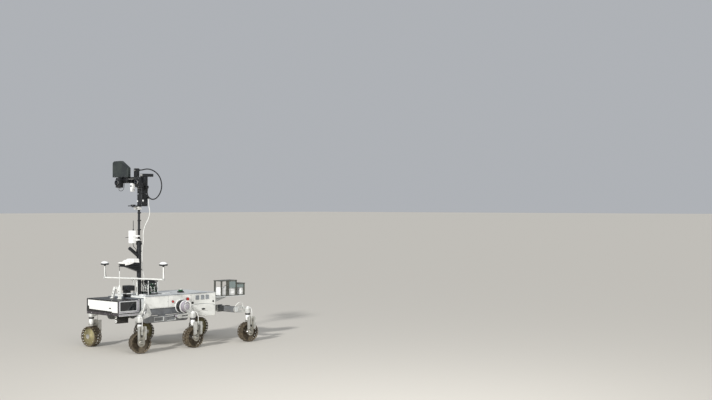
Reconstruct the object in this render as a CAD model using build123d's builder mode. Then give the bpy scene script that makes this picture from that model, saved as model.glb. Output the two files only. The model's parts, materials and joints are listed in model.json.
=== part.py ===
from build123d import *
import math
import os

# Planetary rover prototype: six steered, perforated metal wheels on fixed bogies, a flat white body,
# a glazed instrument bay in front, and a mast that carries a pan and tilt camera head.
# Millimetres. +X is forward, +Y is the rover's left, +Z is up, and the origin is on the ground
# under the middle of the whole vehicle.

# Running gear
AXLE_X = {"front": 776, "mid": 21, "rear": -827}
# How far each wheel stands turned about its steering axis at rest, in degrees
STEER_REST = {
    "front_left": -20, "front_right": -80, "mid_left": 0, "mid_right": 0, "rear_left": -11, "rear_right": 0,
}
HALF_TRACK = 473
WHEEL_R = 120
WHEEL_W = 110
RIM_R = 113
RIM_WALL = 3
HUB_R = 27
AXLE_R = 12
GROUSERS = 20
LEG_W = 84
LEG_DEPTH = 60
LEG_TOP = 308
LEG_Y = 62
SHEET = 4
STEER_R = 27
YOKE_Z = 250
YOKE_THICK = 12
STEER_LOW_TOP = 325
BEARING_Z = 327
MOTOR_Z = 345
MOTOR_TOP = 412
SHAFT_R = 7
BORE_PLAY = 1.5
ROTARY_CAP_Z = 416

# Bogies
BOGIE_Y = (322, 362)
BRACKET_Y = (424, 440)
MID_DRIVE = (75, 475)
FRONT_DRIVE = (626, 430)
REAR_BEAM = (-677, 395)

# Body
BODY_HALF_W = 310
BODY_REAR_X = -464
BODY_FRONT_X = 583
BODY_TOP = 609
SIDE_LOW_Z = 472
BELLY_THICK = 5
DECK_THICK = 6
BAY_Z = (392, 472)
BAY_HALF_W = 296
NECK_Z = (412, 596)
FRONT_BOX_X = (671, 947)
FRONT_BOX_Z = (410, 587)
FRONT_BOX_HALF_W = 312
BOX_WALL = 6

# Deck and mast
DECK_Z = BODY_TOP + DECK_THICK
MAST_X = 441
MAST_LOW_R = 26
MAST_LOW_TOP = 1240
MAST_UP_R = 14
MAST_TOP = 1604
PLATE_Z = 1645
PLATE_THICK = 10
PAN_X = 391
PAN_BASE_TOP = 1785
PAN_BODY_Z = (1795, 1925)
TILT_Z = 1870
BENCH_X = (491, 551)
BENCH_Z = (1915, 1985)
BENCH_HALF = 260
GNSS_X = 521
GNSS_Z = 806
GNSS_HALF = 578
ANTENNA_R = 48

os.makedirs("parts", exist_ok=True)


def finish(piece, name):
    """Label one sub-part and write it."""
    piece.label = name
    export_step(piece, f"parts/{name}.step")


def unit_plane(name, axle, side):
    """Ground plane under one wheel, its local +Y pointing outboard, turned as the wheel stands at rest."""
    turn = math.radians(STEER_REST[name])
    x_dir = (side * math.cos(turn), side * math.sin(turn), 0)
    return Plane(origin=(AXLE_X[axle], side * HALF_TRACK, 0), x_dir=x_dir, z_dir=(0, 0, 1))


def side_plane(y):
    """Upright plane that faces the rover's left, its sketch X along the rover's X."""
    return Plane(origin=(0, y, 0), x_dir=(1, 0, 0), z_dir=(0, -1, 0))


# Columns: name, axle, side
WHEELS = [
    ("front_left", "front", 1),
    ("front_right", "front", -1),
    ("mid_left", "mid", 1),
    ("mid_right", "mid", -1),
    ("rear_left", "rear", 1),
    ("rear_right", "rear", -1),
]
SIDES = [("left", 1), ("right", -1)]


def corner_radii(points):
    """Bend radius at each inner point of a cable's route, as large as its two runs allow."""
    radii = []
    for before, here, after in zip(points, points[1:], points[2:]):
        run_in = Vector(*here) - Vector(*before)
        run_out = Vector(*after) - Vector(*here)
        turn = math.radians(run_in.get_angle(run_out))
        radii.append(0.45 * min(run_in.length, run_out.length) / math.tan(turn / 2))
    return radii


def cable(points, tube_r, name):
    """Round cable along a route of straight runs joined by tangent arcs."""
    radii = corner_radii(points)
    with BuildPart() as tube:
        with BuildLine() as route:
            FilletPolyline(*points, radius=radii)
        centre_line = route.wires()[0]
        with BuildSketch(Plane(origin=centre_line @ 0, z_dir=centre_line % 0)):
            Circle(tube_r)
        sweep()
    true_volume = math.pi * tube_r**2 * centre_line.length
    print(name, "length", round(centre_line.length), "tightest bend", round(min(radii)),
          "volume share", round(tube.part.volume / true_volume, 3))
    return tube.part


def circle_edges(circles, x0=0):
    """Edges to hull, from rows of x, height and radius."""
    return [Edge.make_circle(r, Plane(origin=(x0 + x, z, 0))) for x, z, r in circles]


# Wheel: a thin rolled drum with grousers, carried by a spun cone on a capped hub, turned about Y.
# The cone closes the inboard side, so the drum is open towards the leg.
HUB_Y = (-57, 30)
CAP_THICK = 5
CONE = [(HUB_R - 4, -54), (50, -46), (RIM_R - 1, -24), (RIM_R - 1, -20), (48, -41), (HUB_R - 4, -49)]
GROUSER_W = 5
with BuildPart() as wheel:
    with BuildSketch(Plane.XY):
        with Locations((RIM_R - RIM_WALL / 2, 0)):
            Rectangle(RIM_WALL, WHEEL_W)
        with Locations((RIM_R - 6, WHEEL_W / 2 - 1.5), (RIM_R - 6, 1.5 - WHEEL_W / 2)):
            Rectangle(12, 3)
        with BuildLine():
            Polyline(*CONE, close=True)
        make_face()
        with Locations(((AXLE_R + BORE_PLAY + HUB_R) / 2, sum(HUB_Y) / 2)):
            Rectangle(HUB_R - AXLE_R - BORE_PLAY, HUB_Y[1] - HUB_Y[0])
        with Locations((HUB_R / 2, HUB_Y[0] - CAP_THICK / 2)):
            Rectangle(HUB_R, CAP_THICK)
    revolve(axis=Axis.Y)
    with BuildSketch(side_plane(-WHEEL_W / 2)):
        with PolarLocations((RIM_R + WHEEL_R) / 2 - 1, GROUSERS):
            Rectangle(WHEEL_R - RIM_R + 2, GROUSER_W)
    extrude(amount=-WHEEL_W)

# Leg: folded channel outboard of the wheel, its walls ending above the axle, with the yoke over the wheel
# and the turning half of the steering
LEG_WALL_LOW = 158
DRIVE_CAP = (30, 12)
LEG_SLOT_Z = WHEEL_R + 34
CABLE_CLAMP_Y = 88
CABLE_CLAMP_Z = (188, 212)
with BuildPart() as leg:
    with BuildSketch(side_plane(LEG_Y)):
        with Locations((0, WHEEL_R)):
            Circle(LEG_W / 2)
        with Locations((0, (WHEEL_R + LEG_TOP) / 2)):
            Rectangle(LEG_W, LEG_TOP - WHEEL_R)
        with Locations((0, LEG_SLOT_Z)):
            SlotOverall(30, 8, mode=Mode.SUBTRACT)
    extrude(amount=-SHEET)
    with BuildSketch(side_plane(LEG_Y + SHEET)):
        with Locations((0, (LEG_WALL_LOW + LEG_TOP) / 2)):
            with GridLocations(LEG_W - SHEET, 0, 2, 1):
                Rectangle(SHEET, LEG_TOP - LEG_WALL_LOW)
    extrude(amount=SHEET - LEG_DEPTH)
    with BuildSketch(side_plane(LEG_Y + SHEET)):
        with Locations((0, WHEEL_R)):
            Circle(DRIVE_CAP[0])
    extrude(amount=-DRIVE_CAP[1])
    with BuildSketch(Plane.XY.offset(YOKE_Z)):
        Circle(STEER_R + 6)
        with Locations((0, (LEG_Y + SHEET) / 2)):
            Rectangle(2 * STEER_R + 12, LEG_Y + SHEET)
    extrude(amount=YOKE_THICK)
    with Locations((0, 0, (YOKE_Z + STEER_LOW_TOP) / 2)):
        Cylinder(STEER_R, STEER_LOW_TOP - YOKE_Z)
    with Locations((0, 0, (YOKE_Z + ROTARY_CAP_Z) / 2)):
        Cylinder(SHAFT_R, ROTARY_CAP_Z - YOKE_Z)
    with Locations((0, 0, ROTARY_CAP_Z + 5)):
        Cylinder(15, 10)
    with BuildSketch(side_plane(HUB_Y[0] + 3)):
        with Locations((0, WHEEL_R)):
            Circle(AXLE_R)
    extrude(amount=HUB_Y[0] + 3 - LEG_Y - SHEET)
    with Locations((0, CABLE_CLAMP_Y, sum(CABLE_CLAMP_Z) / 2)):
        Cylinder(8, CABLE_CLAMP_Z[1] - CABLE_CLAMP_Z[0])
    with Locations((0, (LEG_Y + SHEET + CABLE_CLAMP_Y) / 2, sum(CABLE_CLAMP_Z) / 2)):
        Box(10, CABLE_CLAMP_Y - LEG_Y - SHEET, 14)

for name, axle, side in WHEELS:
    place = unit_plane(name, axle, side)
    finish((place.offset(WHEEL_R).location * wheel.part), f"wheel_{name}")
    finish((place.location * leg.part), f"leg_{name}")

# Cable that turns with each leg, from the cap on the steering axis down into the channel
DRIVE_CABLE_R = 3.5
DRIVE_CABLE = [(0, 15, 421), (0, 50, 421), (0, 84, 405), (0, 101, 362), (0, 100, 310), (0, 88, 262), (0, 88, 212)]
drive_cable = cable(DRIVE_CABLE, DRIVE_CABLE_R, "drive_cable")
for name, axle, side in WHEELS:
    finish(unit_plane(name, axle, side).location * drive_cable, f"drive_cable_{name}")

# Fixed half of the steering: a motor can over a wider bearing ring, bored for the turning shaft
# Columns: radius, bottom, top
STEERING_STACK = [
    (STEER_R, MOTOR_Z, MOTOR_TOP),
    (STEER_R + 4, BEARING_Z, MOTOR_Z),
]
with BuildPart() as steering_motors:
    for radius, bottom, top in STEERING_STACK:
        with BuildSketch(Plane.XY.offset(bottom)):
            for name, axle, side in WHEELS:
                with Locations((AXLE_X[axle], side * HALF_TRACK)):
                    Circle(radius)
                    Circle(SHAFT_R + BORE_PLAY, mode=Mode.SUBTRACT)
        extrude(amount=top - bottom)
finish(steering_motors.part, "steering_motors")

# Truss plates that reach from the walking drives to the steering motors, seen from the side
# Columns: axle, outer circles (x from the axle, height, radius), opening circles
BRACKETS = {
    "front": ([(-5, 380, 26), (-125, 528, 16), (-150, 430, 34)], [(-52, 405, 9), (-121, 492, 7), (-112, 440, 8)]),
    "mid": ([(0, 380, 26), (170, 372, 24)], [(45, 378, 9), (125, 374, 9)]),
    "rear": ([(5, 380, 26), (60, 430, 15), (150, 395, 37)], [(38, 386, 8), (62, 410, 8), (98, 392, 8)]),
}
MID_RISER = [(0, 380, 26), (MID_DRIVE[0] - AXLE_X["mid"], MID_DRIVE[1], 40)]
CLAMP_Z = (356, 404)
CLAMP_R = STEER_R + 9
CLAMP_BRIDGE = 40
with BuildPart() as wheel_brackets:
    for side_name, side in SIDES:
        for axle, (outer, opening) in BRACKETS.items():
            x0 = AXLE_X[axle]
            with BuildSketch(side_plane(side * BRACKET_Y[0])):
                make_hull(circle_edges(outer, x0))
                if axle == "mid":
                    make_hull(circle_edges(MID_RISER, x0))
                make_hull(circle_edges(opening, x0), mode=Mode.SUBTRACT)
            extrude(amount=-side * (BRACKET_Y[1] - BRACKET_Y[0]))
            with BuildSketch(Plane.XY.offset(CLAMP_Z[0])):
                with Locations((x0, side * HALF_TRACK)):
                    Circle(CLAMP_R)
                    with Locations((0, -side * CLAMP_R)):
                        Rectangle(CLAMP_BRIDGE, 28)
                    Circle(STEER_R, mode=Mode.SUBTRACT)
            extrude(amount=CLAMP_Z[1] - CLAMP_Z[0])
finish(wheel_brackets.part, "wheel_brackets")

# Side bogies: a box beam under the body with framed pockets, rising at both ends to the drives
BEAM_MID_Z = 352
BEAM_R = 37
BEAM_ENDS_X = (40, 590)
POCKET_H = 44
POCKET_DEPTH = 8
PIVOT_X = 330
PIVOT_R = 30
# Columns: start x, length
POCKETS = [(360, 130), (190, 150)]
with BuildPart() as side_bogies:
    for side_name, side in SIDES:
        with BuildSketch(side_plane(side * BOGIE_Y[0])):
            make_hull(circle_edges([(x, BEAM_MID_Z, BEAM_R) for x in BEAM_ENDS_X]))
            make_hull(circle_edges([(BEAM_ENDS_X[0] + 6, BEAM_MID_Z, BEAM_R), (*MID_DRIVE, 50)]))
            make_hull(circle_edges([(BEAM_ENDS_X[1], BEAM_MID_Z, BEAM_R), (*FRONT_DRIVE, 36)]))
        extrude(amount=-side * (BOGIE_Y[1] - BOGIE_Y[0]))
        with BuildSketch(side_plane(side * BOGIE_Y[1])):
            for start, length in POCKETS:
                with Locations((start + length / 2, BEAM_MID_Z)):
                    Rectangle(length, POCKET_H)
        extrude(amount=side * POCKET_DEPTH, mode=Mode.SUBTRACT)
        with BuildSketch(side_plane(side * BOGIE_Y[0])):
            with Locations((PIVOT_X, BEAM_MID_Z)):
                Circle(PIVOT_R)
        extrude(amount=side * (BOGIE_Y[0] - BAY_HALF_W))
finish(side_bogies.part, "side_bogies")

# Walking drives: banded cans between the bogies' ends and the brackets, turned about Y
# Columns: y start, y end, radius
MID_DRIVE_STEPS = [
    (BODY_HALF_W, BOGIE_Y[0], 80), (362, 376, 78), (376, 382, 70), (382, 396, 74), (396, 402, 66), (402, 424, 60),
]
# Columns: centre, radius
SMALL_DRIVES = [(FRONT_DRIVE, 30), ((AXLE_X["mid"] + 170, 372), 17)]
with BuildPart() as walking_drives:
    for side_name, side in SIDES:
        for start, end, radius in MID_DRIVE_STEPS:
            with BuildSketch(side_plane(side * start)):
                with Locations(MID_DRIVE):
                    Circle(radius)
            extrude(amount=-side * (end - start))
        for centre, radius in SMALL_DRIVES:
            with BuildSketch(side_plane(side * BOGIE_Y[1])):
                with Locations(centre):
                    Circle(radius)
            extrude(amount=-side * (BRACKET_Y[0] - BOGIE_Y[1]))
finish(walking_drives.part, "walking_drives")

# Rear bogie: a beam across the vehicle with two collars, on a stepped pivot behind the body
BEAM_SIZE = (58, 70)
COLLAR_SIZE = (74, 86)
COLLAR_Y = (-130, 108)
COLLAR_W = 22
# Columns: x start, x end, radius
PIVOT_STEPS = [(BODY_REAR_X, BODY_REAR_X - 14, 62), (BODY_REAR_X - 14, REAR_BEAM[0] + 20, 42)]
with BuildPart() as bogie_rear:
    with BuildSketch(Plane.XZ.offset(-BRACKET_Y[0])):
        with Locations(REAR_BEAM):
            RectangleRounded(*BEAM_SIZE, 8)
    extrude(amount=2 * BRACKET_Y[0])
    for y in COLLAR_Y:
        with BuildSketch(Plane.XZ.offset(-y)):
            with Locations(REAR_BEAM):
                RectangleRounded(*COLLAR_SIZE, 10)
        extrude(amount=-COLLAR_W)
    for start, end, radius in PIVOT_STEPS:
        with BuildSketch(Plane(origin=(start, 0, REAR_BEAM[1]), z_dir=(-1, 0, 0))):
            Circle(radius)
        extrude(amount=start - end)
finish(bogie_rear.part, "bogie_rear")

# Payload bolt pattern in the rear of the deck, drilled through the plate and into the body
PATTERN_X = -260
PATTERN_SPACING = 160
PATTERN_R = 3.3
PATTERN_DEPTH = 14

# Body shell: long white housing, deeper behind the middle wheels
with BuildPart() as body_shell:
    with BuildSketch(side_plane(-BODY_HALF_W)):
        with BuildLine():
            belly = ThreePointArc((-300, 331), (-150, 375), (-60, SIDE_LOW_Z))
            Polyline(
                belly @ 1, (BODY_FRONT_X, SIDE_LOW_Z), (BODY_FRONT_X, BODY_TOP), (BODY_REAR_X, BODY_TOP),
                (BODY_REAR_X, 331), belly @ 0,
            )
        make_face()
    extrude(amount=-2 * BODY_HALF_W)
    fillet(body_shell.edges().filter_by(Axis.Z).group_by(Axis.X)[0], 14)
    for side_name, side in SIDES:
        with BuildSketch(side_plane(side * BODY_HALF_W)):
            with BuildLine():
                crease = ThreePointArc((-446, 460), (-250, 484), (-96, 466))
                lower = ThreePointArc(crease @ 1, (-160, 384), (-296, 337))
                Polyline(lower @ 1, (-446, 337), crease @ 0)
            make_face()
        extrude(amount=-side * BELLY_THICK)
    with BuildSketch(Plane.XY.offset(BODY_TOP)):
        with Locations((PATTERN_X, 0)):
            with GridLocations(PATTERN_SPACING, PATTERN_SPACING, 2, 2):
                Circle(PATTERN_R)
    extrude(amount=-PATTERN_DEPTH, mode=Mode.SUBTRACT)
finish(body_shell.part, "body_shell")

# Darker lower bay, the hangers of the side bogies and the narrower neck to the instrument bay
NECK_HALF_W = 288
HANGER_W = 26
HANGER_R = 44
with BuildPart() as lower_bay:
    with BuildSketch(side_plane(-BAY_HALF_W)):
        with BuildLine():
            Polyline(
                (BODY_FRONT_X, BAY_Z[0]), (BODY_FRONT_X, BAY_Z[1]), (-58, BAY_Z[1]), (-20, BAY_Z[0]), close=True,
            )
        make_face()
    extrude(amount=-2 * BAY_HALF_W)
    for side_name, side in SIDES:
        with BuildSketch(side_plane(side * BAY_HALF_W)):
            make_hull(circle_edges([(PIVOT_X, BEAM_MID_Z, HANGER_R), (PIVOT_X, BAY_Z[0] + 30, HANGER_R + 4)]))
        extrude(amount=side * HANGER_W)
    with BuildSketch(Plane.XY.offset(NECK_Z[0])):
        with Locations(((BODY_FRONT_X + FRONT_BOX_X[0]) / 2, 0)):
            Rectangle(FRONT_BOX_X[0] - BODY_FRONT_X, 2 * NECK_HALF_W)
    extrude(amount=NECK_Z[1] - NECK_Z[0])
finish(lower_bay.part, "lower_bay")

# Deck plate
with BuildPart() as deck_plate:
    with BuildSketch(Plane.XY.offset(BODY_TOP)):
        with Locations(((BODY_FRONT_X + BODY_REAR_X) / 2, 0)):
            RectangleRounded(BODY_FRONT_X - BODY_REAR_X - 8, 2 * BODY_HALF_W - 8, 10)
        with Locations((PATTERN_X, 0)):
            with GridLocations(PATTERN_SPACING, PATTERN_SPACING, 2, 2):
                Circle(PATTERN_R, mode=Mode.SUBTRACT)
    extrude(amount=DECK_THICK)
finish(deck_plate.part, "deck_plate")

# Instrument bay: folded case, open to the front and to both sides
box_len = FRONT_BOX_X[1] - FRONT_BOX_X[0]
box_h = FRONT_BOX_Z[1] - FRONT_BOX_Z[0]
box_mid = ((FRONT_BOX_X[0] + FRONT_BOX_X[1]) / 2, 0, (FRONT_BOX_Z[0] + FRONT_BOX_Z[1]) / 2)
WINDOW = (226, 104)
WINDOW_MID = (FRONT_BOX_X[0] + 142, 519)
BOARD = (584, 126)
BOARD_MID_Z = 511
with BuildPart() as front_box:
    with Locations(box_mid):
        Box(box_len, 2 * FRONT_BOX_HALF_W, box_h)
        Box(box_len - 2 * BOX_WALL, 2 * (FRONT_BOX_HALF_W - BOX_WALL), box_h - 2 * BOX_WALL, mode=Mode.SUBTRACT)
    with BuildSketch(side_plane(-FRONT_BOX_HALF_W)):
        with Locations(WINDOW_MID):
            RectangleRounded(*WINDOW, 8)
    extrude(amount=-2 * FRONT_BOX_HALF_W, mode=Mode.SUBTRACT)
    with BuildSketch(Plane(origin=(FRONT_BOX_X[1], 0, BOARD_MID_Z), x_dir=(0, 1, 0), z_dir=(1, 0, 0))):
        Rectangle(*BOARD)
    extrude(amount=-BOX_WALL, mode=Mode.SUBTRACT)
finish(front_box.part, "front_box")

with BuildPart() as front_board:
    with BuildSketch(Plane(origin=(FRONT_BOX_X[1] - 2, 0, BOARD_MID_Z), x_dir=(0, 1, 0), z_dir=(1, 0, 0))):
        Rectangle(*BOARD)
    extrude(amount=2 - BOX_WALL)
finish(front_board.part, "front_board")

with BuildPart() as side_windows:
    for side_name, side in SIDES:
        with BuildSketch(side_plane(side * (FRONT_BOX_HALF_W - BOX_WALL))):
            with Locations(WINDOW_MID):
                RectangleRounded(*WINDOW, 8)
        extrude(amount=-side * (BOX_WALL - 2))
finish(side_windows.part, "side_windows")

# Close-range sensor under the left front corner, two lamps on its face
SENSOR_MID = (808, 175, FRONT_BOX_Z[0] - 45)
SENSOR_SIZE = (150, 50, 90)
LAMP_R = 14
with BuildPart() as front_sensor:
    with Locations(SENSOR_MID):
        Box(*SENSOR_SIZE)
    fillet(front_sensor.edges().filter_by(Axis.Z), 5)
    for z in (345, 390):
        with Locations((SENSOR_MID[0] + SENSOR_SIZE[0] / 2 + 3, SENSOR_MID[1], z)):
            Cylinder(LAMP_R, 6, rotation=(0, 90, 0))
finish(front_sensor.part, "front_sensor")

# Fittings on both body sides: oval covers and slotted vents
# Columns: x, height, width, depth of the oval, thickness of the panel under it
OVALS = [(-104, 504, 30, 22, 0), (-417, 507, 18, 18, 0), (-263, 423, 46, 16, BELLY_THICK)]
OVAL_DEPTH = 5
VENT_X = (-175, -253, -325)
VENT_Z = 562
VENT_SIZE = 50
VENT_DEPTH = 3
with BuildPart() as side_fittings:
    for side_name, side in SIDES:
        for x, z, wide, high, panel in OVALS:
            with BuildSketch(side_plane(side * (BODY_HALF_W + panel))):
                with Locations((x, z)):
                    Ellipse(wide / 2, high / 2)
            extrude(amount=-side * OVAL_DEPTH)
        with BuildSketch(side_plane(side * BODY_HALF_W)):
            for x in VENT_X:
                with Locations((x, VENT_Z)):
                    RectangleRounded(VENT_SIZE, VENT_SIZE, 5)
                    with GridLocations(0, 9, 1, 4):
                        Rectangle(VENT_SIZE - 14, 4, mode=Mode.SUBTRACT)
        extrude(amount=-side * VENT_DEPTH)
finish(side_fittings.part, "side_fittings")

# Columns: x, height, knob radius, stem radius, reach
BUTTONS = [(-22, 556, 19, 10, 24), (191, 537, 14, 8, 16)]
with BuildPart() as stop_buttons:
    for side_name, side in SIDES:
        for x, z, knob_r, stem_r, reach in BUTTONS:
            for start, end, radius in [(0, reach - 8, stem_r), (reach - 8, reach, knob_r)]:
                with BuildSketch(side_plane(side * (BODY_HALF_W + start))):
                    with Locations((x, z)):
                        Circle(radius)
                extrude(amount=-side * (end - start))
finish(stop_buttons.part, "stop_buttons")

# Rear shelf with a bolt pattern at its right and an open equipment rack at its left
SHELF_X = (-934, BODY_REAR_X)
SHELF_Z = 545
SHELF_THICK = 8
SHELF_HALF_W = 300
GUSSET_Y = 224
GUSSET_REACH = 260
GUSSET_DROP = 80
SHELF_PATTERN = (-700, -100)
SHELF_PATTERN_SPACING = 200
SHELF_PATTERN_R = 2.8
RACK_X = (-930, -556)
RACK_STEP_X = -794
RACK_MIDDLE_X = -661
RACK_Y = (160, SHELF_HALF_W)
RACK_TOP = 733
RACK_LOW_TOP = 692
with BuildPart() as rear_shelf:
    with BuildSketch(Plane.XY.offset(SHELF_Z)):
        with Locations(((SHELF_X[0] + SHELF_X[1]) / 2, 0)):
            Rectangle(SHELF_X[1] - SHELF_X[0], 2 * SHELF_HALF_W)
        with Locations(SHELF_PATTERN):
            with GridLocations(SHELF_PATTERN_SPACING, SHELF_PATTERN_SPACING, 2, 2):
                Circle(SHELF_PATTERN_R, mode=Mode.SUBTRACT)
    extrude(amount=SHELF_THICK)
    for y in (-GUSSET_Y, GUSSET_Y):
        with BuildSketch(side_plane(y - SHELF_THICK / 2)):
            with BuildLine():
                Polyline(
                    (BODY_REAR_X, SHELF_Z), (BODY_REAR_X - GUSSET_REACH, SHELF_Z),
                    (BODY_REAR_X, SHELF_Z - GUSSET_DROP), close=True,
                )
            make_face()
        extrude(amount=-SHELF_THICK)
finish(rear_shelf.part, "rear_shelf")

rack_mid_y = sum(RACK_Y) / 2
rack_w = RACK_Y[1] - RACK_Y[0]
rack_low = SHELF_Z + SHELF_THICK
RACK_POST = 16
RACK_FLOOR = 6
LID_THICK = 10
# Columns: x of a pair of posts, their top
RACK_POSTS = [(RACK_X[1] - 8, RACK_TOP), (RACK_STEP_X, RACK_TOP), (RACK_X[0] + 8, RACK_LOW_TOP)]
# Columns: x start, x end, underside
RACK_LIDS = [(RACK_STEP_X - 8, RACK_X[1] + 4, RACK_TOP), (RACK_X[0] - 4, RACK_STEP_X - 8, RACK_LOW_TOP)]
with BuildPart() as rack_frame:
    with BuildSketch(Plane.XY.offset(rack_low)):
        with Locations((sum(RACK_X) / 2, rack_mid_y)):
            Rectangle(RACK_X[1] - RACK_X[0], rack_w)
    extrude(amount=RACK_FLOOR)
    for x, top in RACK_POSTS:
        with BuildSketch(Plane.XY.offset(rack_low)):
            with Locations((x, rack_mid_y)):
                with GridLocations(0, rack_w - RACK_POST, 1, 2):
                    Rectangle(RACK_POST, RACK_POST)
        extrude(amount=top - rack_low)
    with BuildSketch(Plane.XY.offset(rack_low)):
        with Locations((RACK_MIDDLE_X, RACK_Y[1] - RACK_POST / 2)):
            Rectangle(36, RACK_POST)
    extrude(amount=RACK_TOP - rack_low)
    for start, end, low in RACK_LIDS:
        with BuildSketch(Plane.XY.offset(low)):
            with Locations(((start + end) / 2, rack_mid_y)):
                Rectangle(end - start, rack_w + 8)
        extrude(amount=LID_THICK)
finish(rack_frame.part, "rack_frame")

# Columns: x of the middle, length
MODULES = [(-606, 74), (-735, 108), (-892, 52)]
MODULE_H = 86
with BuildPart() as rack_modules:
    for x, length in MODULES:
        with Locations((x, rack_mid_y, rack_low + RACK_FLOOR + MODULE_H / 2)):
            Box(length, rack_w - 36, MODULE_H)
finish(rack_modules.part, "rack_modules")

# Columns: x start, x end, low, high
RACK_PANES = [(RACK_STEP_X + 10, RACK_MIDDLE_X - 21, 648, 730), (RACK_X[0] + 18, RACK_STEP_X - 10, 650, 690)]
with BuildPart() as rack_glass:
    for start, end, low, high in RACK_PANES:
        with Locations(((start + end) / 2, RACK_Y[1] - 6, (low + high) / 2)):
            Box(end - start, 4, high - low)
finish(rack_glass.part, "rack_glass")

# Mast: a wide foot tube with a collar and an inclined stub, then a thinner tube under the head's plate
FOOT_R = 40
FOOT_THICK = 10
COLLAR_H = 40
STUB_Z = 1068
STUB_R = 20
STUB_REACH = 155
with BuildPart() as mast_lower:
    for start, end, radius in [
        (DECK_Z, DECK_Z + FOOT_THICK, FOOT_R),
        (DECK_Z + FOOT_THICK, MAST_LOW_TOP, MAST_LOW_R),
        (MAST_LOW_TOP - COLLAR_H, MAST_LOW_TOP, MAST_LOW_R + 6),
    ]:
        with BuildSketch(Plane.XY.offset(start)):
            with Locations((MAST_X, 0)):
                Circle(radius)
        extrude(amount=end - start)
    with BuildSketch(Plane(origin=(MAST_X + 12, 0, STUB_Z), z_dir=(0.8, 0, 0.6))):
        Circle(STUB_R)
    extrude(amount=STUB_REACH)
finish(mast_lower.part, "mast_lower")

with BuildPart() as mast_upper:
    with BuildSketch(Plane.XY.offset(MAST_LOW_TOP)):
        with Locations((MAST_X, 0)):
            Circle(MAST_UP_R)
    extrude(amount=MAST_TOP - MAST_LOW_TOP)
    with BuildSketch(Plane.XY.offset(MAST_TOP)):
        with Locations((MAST_X + 8, 0)):
            RectangleRounded(52, 48, 6)
    extrude(amount=PLATE_Z - MAST_TOP)
    with BuildSketch(Plane.XY.offset(PLATE_Z)):
        with Locations((458, 0)):
            RectangleRounded(216, 100, 12)
    extrude(amount=PLATE_THICK)
finish(mast_upper.part, "mast_upper")

# Radio on the mast's front face, on a short bracket, with a clamp box and a rod antenna
RADIO_MID = (521, -22, 1289)
RADIO_SIZE = (52, 84, 150)
with BuildPart() as mast_radio:
    with Locations(RADIO_MID):
        Box(*RADIO_SIZE)
    fillet(mast_radio.edges().filter_by(Axis.Z), 10)
    with Locations((474, 14, 1276)):
        Box(62, 76, 68)
    with Locations((500, -30, 1420)):
        Cylinder(5, 120)
    with Locations((MAST_X, 0, RADIO_MID[2])):
        Cylinder(MAST_UP_R, 2 * RADIO_SIZE[2], mode=Mode.SUBTRACT)
finish(mast_radio.part, "mast_radio")

# Shelf on the mast with a soft weather cover
TRAY_X = (465, 684)
TRAY_HALF_W = 76
TRAY_Z = 948
TRAY_THICK = 10
CONTENTS_TOP = 986
COVER_TOP = 1038
tray_mid_x = sum(TRAY_X) / 2
with BuildPart() as mast_tray:
    with BuildSketch(Plane.XY.offset(TRAY_Z)):
        with Locations((tray_mid_x, 0)):
            RectangleRounded(TRAY_X[1] - TRAY_X[0], 2 * TRAY_HALF_W, 24)
    extrude(amount=TRAY_THICK)
    with BuildSketch(Plane.XY.offset(TRAY_Z + TRAY_THICK)):
        with Locations((tray_mid_x, 0)):
            Rectangle(TRAY_X[1] - TRAY_X[0] - 34, 2 * TRAY_HALF_W - 30)
    extrude(amount=CONTENTS_TOP - TRAY_Z - TRAY_THICK)
    with BuildSketch(side_plane(-30)):
        with BuildLine():
            Polyline((MAST_X, TRAY_Z + 2), (650, TRAY_Z + 2), (MAST_X, TRAY_Z - 70), close=True)
        make_face()
    extrude(amount=-60)
    with Locations((MAST_X, 0, TRAY_Z)):
        Cylinder(MAST_LOW_R, 300, mode=Mode.SUBTRACT)
finish(mast_tray.part, "mast_tray")

with BuildPart() as weather_cover:
    with Locations((tray_mid_x, 0, (CONTENTS_TOP + COVER_TOP) / 2)):
        Box(TRAY_X[1] - TRAY_X[0] - 10, 2 * TRAY_HALF_W - 4, COVER_TOP - CONTENTS_TOP)
    fillet(weather_cover.edges().group_by(Axis.Z)[-1], 24)
finish(weather_cover.part, "weather_cover")

# Navigation antennas: two domes on a bar across the mast's foot, the bar a little higher at the left
POST_X = 491
POST_Y = 30
BAR_R = 9
UPRIGHT_R = 7
# Columns: side, height of the bar's end, underside of the antenna
ANTENNAS = [(1, GNSS_Z + 12, 978), (-1, GNSS_Z - 12, 950)]
ANTENNA_Y = GNSS_HALF - 8
DISC_THICK = 12
DOME_H = 28
DOME_R = (ANTENNA_R**2 + DOME_H**2) / (2 * DOME_H)
dome_mid_z = DISC_THICK + DOME_H - DOME_R
rim_angle = math.degrees(math.atan2(DISC_THICK - dome_mid_z, ANTENNA_R))
bar_ends = [Vector(GNSS_X, side * GNSS_HALF, bar_z) for side, bar_z, low in ANTENNAS]
with BuildPart() as antenna_frame:
    with BuildSketch(Plane(origin=bar_ends[0], z_dir=bar_ends[1] - bar_ends[0])):
        Circle(BAR_R)
    extrude(amount=(bar_ends[1] - bar_ends[0]).length)
    for side, bar_z, low in ANTENNAS:
        with Locations((GNSS_X, side * ANTENNA_Y, (bar_z + low) / 2)):
            Cylinder(UPRIGHT_R, low - bar_z)
        with Locations((POST_X, side * POST_Y, (DECK_Z + GNSS_Z) / 2)):
            Box(12, 12, GNSS_Z - DECK_Z)
        with Locations(((POST_X + GNSS_X) / 2, side * POST_Y, GNSS_Z)):
            Box(GNSS_X - POST_X + 12, 12, 24)
finish(antenna_frame.part, "antenna_frame")

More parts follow.
